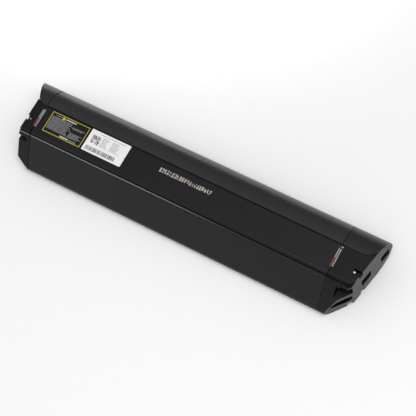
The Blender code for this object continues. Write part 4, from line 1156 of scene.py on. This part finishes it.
def build_cells():
    """Ten wrapped cells stand for each block, with crimped rims and raised caps."""
    wide = CELL_RADIUS
    profile = [(0.0, 0.3), (0.0, 7.6), (0.12, 7.8), (0.12, 8.7), (0.5, wide - 0.05), (0.9, wide),
               (59.4, wide), (60.0, wide - 0.45), (60.8, wide - 0.5), (61.4, wide - 0.05), (63.9, wide),
               (64.3, 8.8), (64.3, 7.2), (63.9, 6.8), (63.9, 4.2), (64.6, 3.9), (65.0, 3.2), (65.0, 0.3)]
    for block in range(1, 6):
        low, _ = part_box(f"cell_block_{block}")
        verts, faces = [], []
        placed = [(low.x / MM + x, radius) for x, radius in profile]
        for row, columns in ROWS:
            for y in columns:
                points, sides = skinned(turned_rings(placed, (y, HEIGHT / 2 + row * ROW_STEP), 28))
                faces += [[len(verts) + index for index in face] for face in sides]
                verts += points
        cells = make(f"cells_{block}", verts, faces, "wrap")
        settle(cells, "cell_wrap", f"cell_block_{block}")


def dress_nodes():
    """Materials for the CAD pieces that stay as they are."""
    wear = {
        "gasket": "rubber", "seam_strip": "rubber", "cell_holder": "holder", "nickel_sheet": "nickel",
        "bms_board": "board", "bms_heat_plate": "spreader", "fuse": "steel", "balance_harness": "sleeve",
        "lead_positive": "red_wire", "lead_negative": "black_wire", "temperature_sensor": "rubber",
        "foam_pad": "foam", "terminal_block": "cap", "contact": "brass", "gauge_board": "board",
    }
    for name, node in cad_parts.items():
        for start, choice in wear.items():
            if name.startswith(start):
                node.data.materials.clear()
                node.data.materials.append(MATERIALS[choice])


# ---- Stage

CAMERA_PLACE = (0.4597, -0.3958, 1.3806)
CAMERA_RIGHT = (0.86245, 0.48738, -0.13654)
CAMERA_UP = (-0.41062, 0.83146, 0.37425)
CAMERA_BACK = (0.29593, -0.26671, 0.91722)
LENS = 113.2


def make_camera():
    data = bpy.data.cameras.new("camera")
    data.lens = LENS
    data.sensor_width = 36.0
    camera = bpy.data.objects.new("camera", data)
    turn = Matrix((CAMERA_RIGHT, CAMERA_UP, CAMERA_BACK)).transposed().to_4x4()
    camera.matrix_world = Matrix.Translation(CAMERA_PLACE) @ turn
    bpy.context.scene.collection.objects.link(camera)
    bpy.context.scene.camera = camera


def make_floor():
    mesh = bpy.data.meshes.new("floor")
    reach = 6.0
    mesh.from_pydata([(-reach, -reach, 0), (reach, -reach, 0), (reach, reach, 0), (-reach, reach, 0)], [],
                     [(0, 1, 2, 3)])
    floor = bpy.data.objects.new("floor", mesh)
    floor.location = (0.0, 0.0, -0.0002)
    bpy.context.scene.collection.objects.link(floor)
    m = Nodes("floor_paper")
    m.wire(m.blend(m.noise(60.0, 4.0), (0.925, 0.925, 0.92), (0.94, 0.94, 0.938)), "Base Color")
    m.bump(m.noise(700.0, 2.0), 0.1, 0.1)
    m.set(Roughness=0.8, Specular_IOR_Level=0.2)
    mesh.materials.append(m.material)


def make_light(name, place, aim, size, watts, spread=180.0):
    data = bpy.data.lights.new(name, "AREA")
    data.shape = "RECTANGLE"
    data.size, data.size_y = size
    data.energy = watts
    data.spread = math.radians(spread)
    light = bpy.data.objects.new(name, data)
    light.location = place
    light.rotation_euler = (Vector(aim) - Vector(place)).to_track_quat("-Z", "Y").to_euler()
    bpy.context.scene.collection.objects.link(light)


def make_world():
    world = bpy.data.worlds.new("studio")
    world.use_nodes = True
    tree = world.node_tree
    background = tree.nodes["Background"]
    coordinate = tree.nodes.new("ShaderNodeTexCoord")
    split = tree.nodes.new("ShaderNodeSeparateXYZ")
    ramp = tree.nodes.new("ShaderNodeMapRange")
    ramp.interpolation_type = "SMOOTHSTEP"
    for key, value in (("From Min", 0.1), ("From Max", 0.95), ("To Min", 0.30), ("To Max", 0.67)):
        ramp.inputs[key].default_value = value
    tree.links.new(coordinate.outputs["Generated"], split.inputs["Vector"])
    tree.links.new(split.outputs["Z"], ramp.inputs["Value"])
    tree.links.new(ramp.outputs["Result"], background.inputs["Strength"])
    background.inputs["Color"].default_value = (1.0, 1.0, 1.0, 1.0)
    bpy.context.scene.world = world


def make_lights():
    make_light("key", (0.50, -0.25, 1.85), (0.0, 0.0, 0.0), (1.1, 1.1), 18.2)
    make_light("floor_pool", (-0.38, 0.52, 0.7), (-0.38, 0.52, 0.0), (0.35, 0.25), 1.9, spread=70.0)
    make_light("near_left", (-1.12, -1.6, 0.5), (0.0, 0.0, 0.05), (1.2, 0.45), 4.6)


build_housing()
build_side_cover()
build_right_end()
build_left_end()
build_gaskets()
build_seam_seals()
build_screws()
build_notice_label()
build_rating_label()
build_seals()
build_part_marks()
build_flap()
build_button()
build_charge_socket()
build_gauge()
build_cells()
dress_nodes()
make_camera()
make_floor()
make_world()
make_lights()
bpy.context.scene.view_settings.view_transform = "Standard"
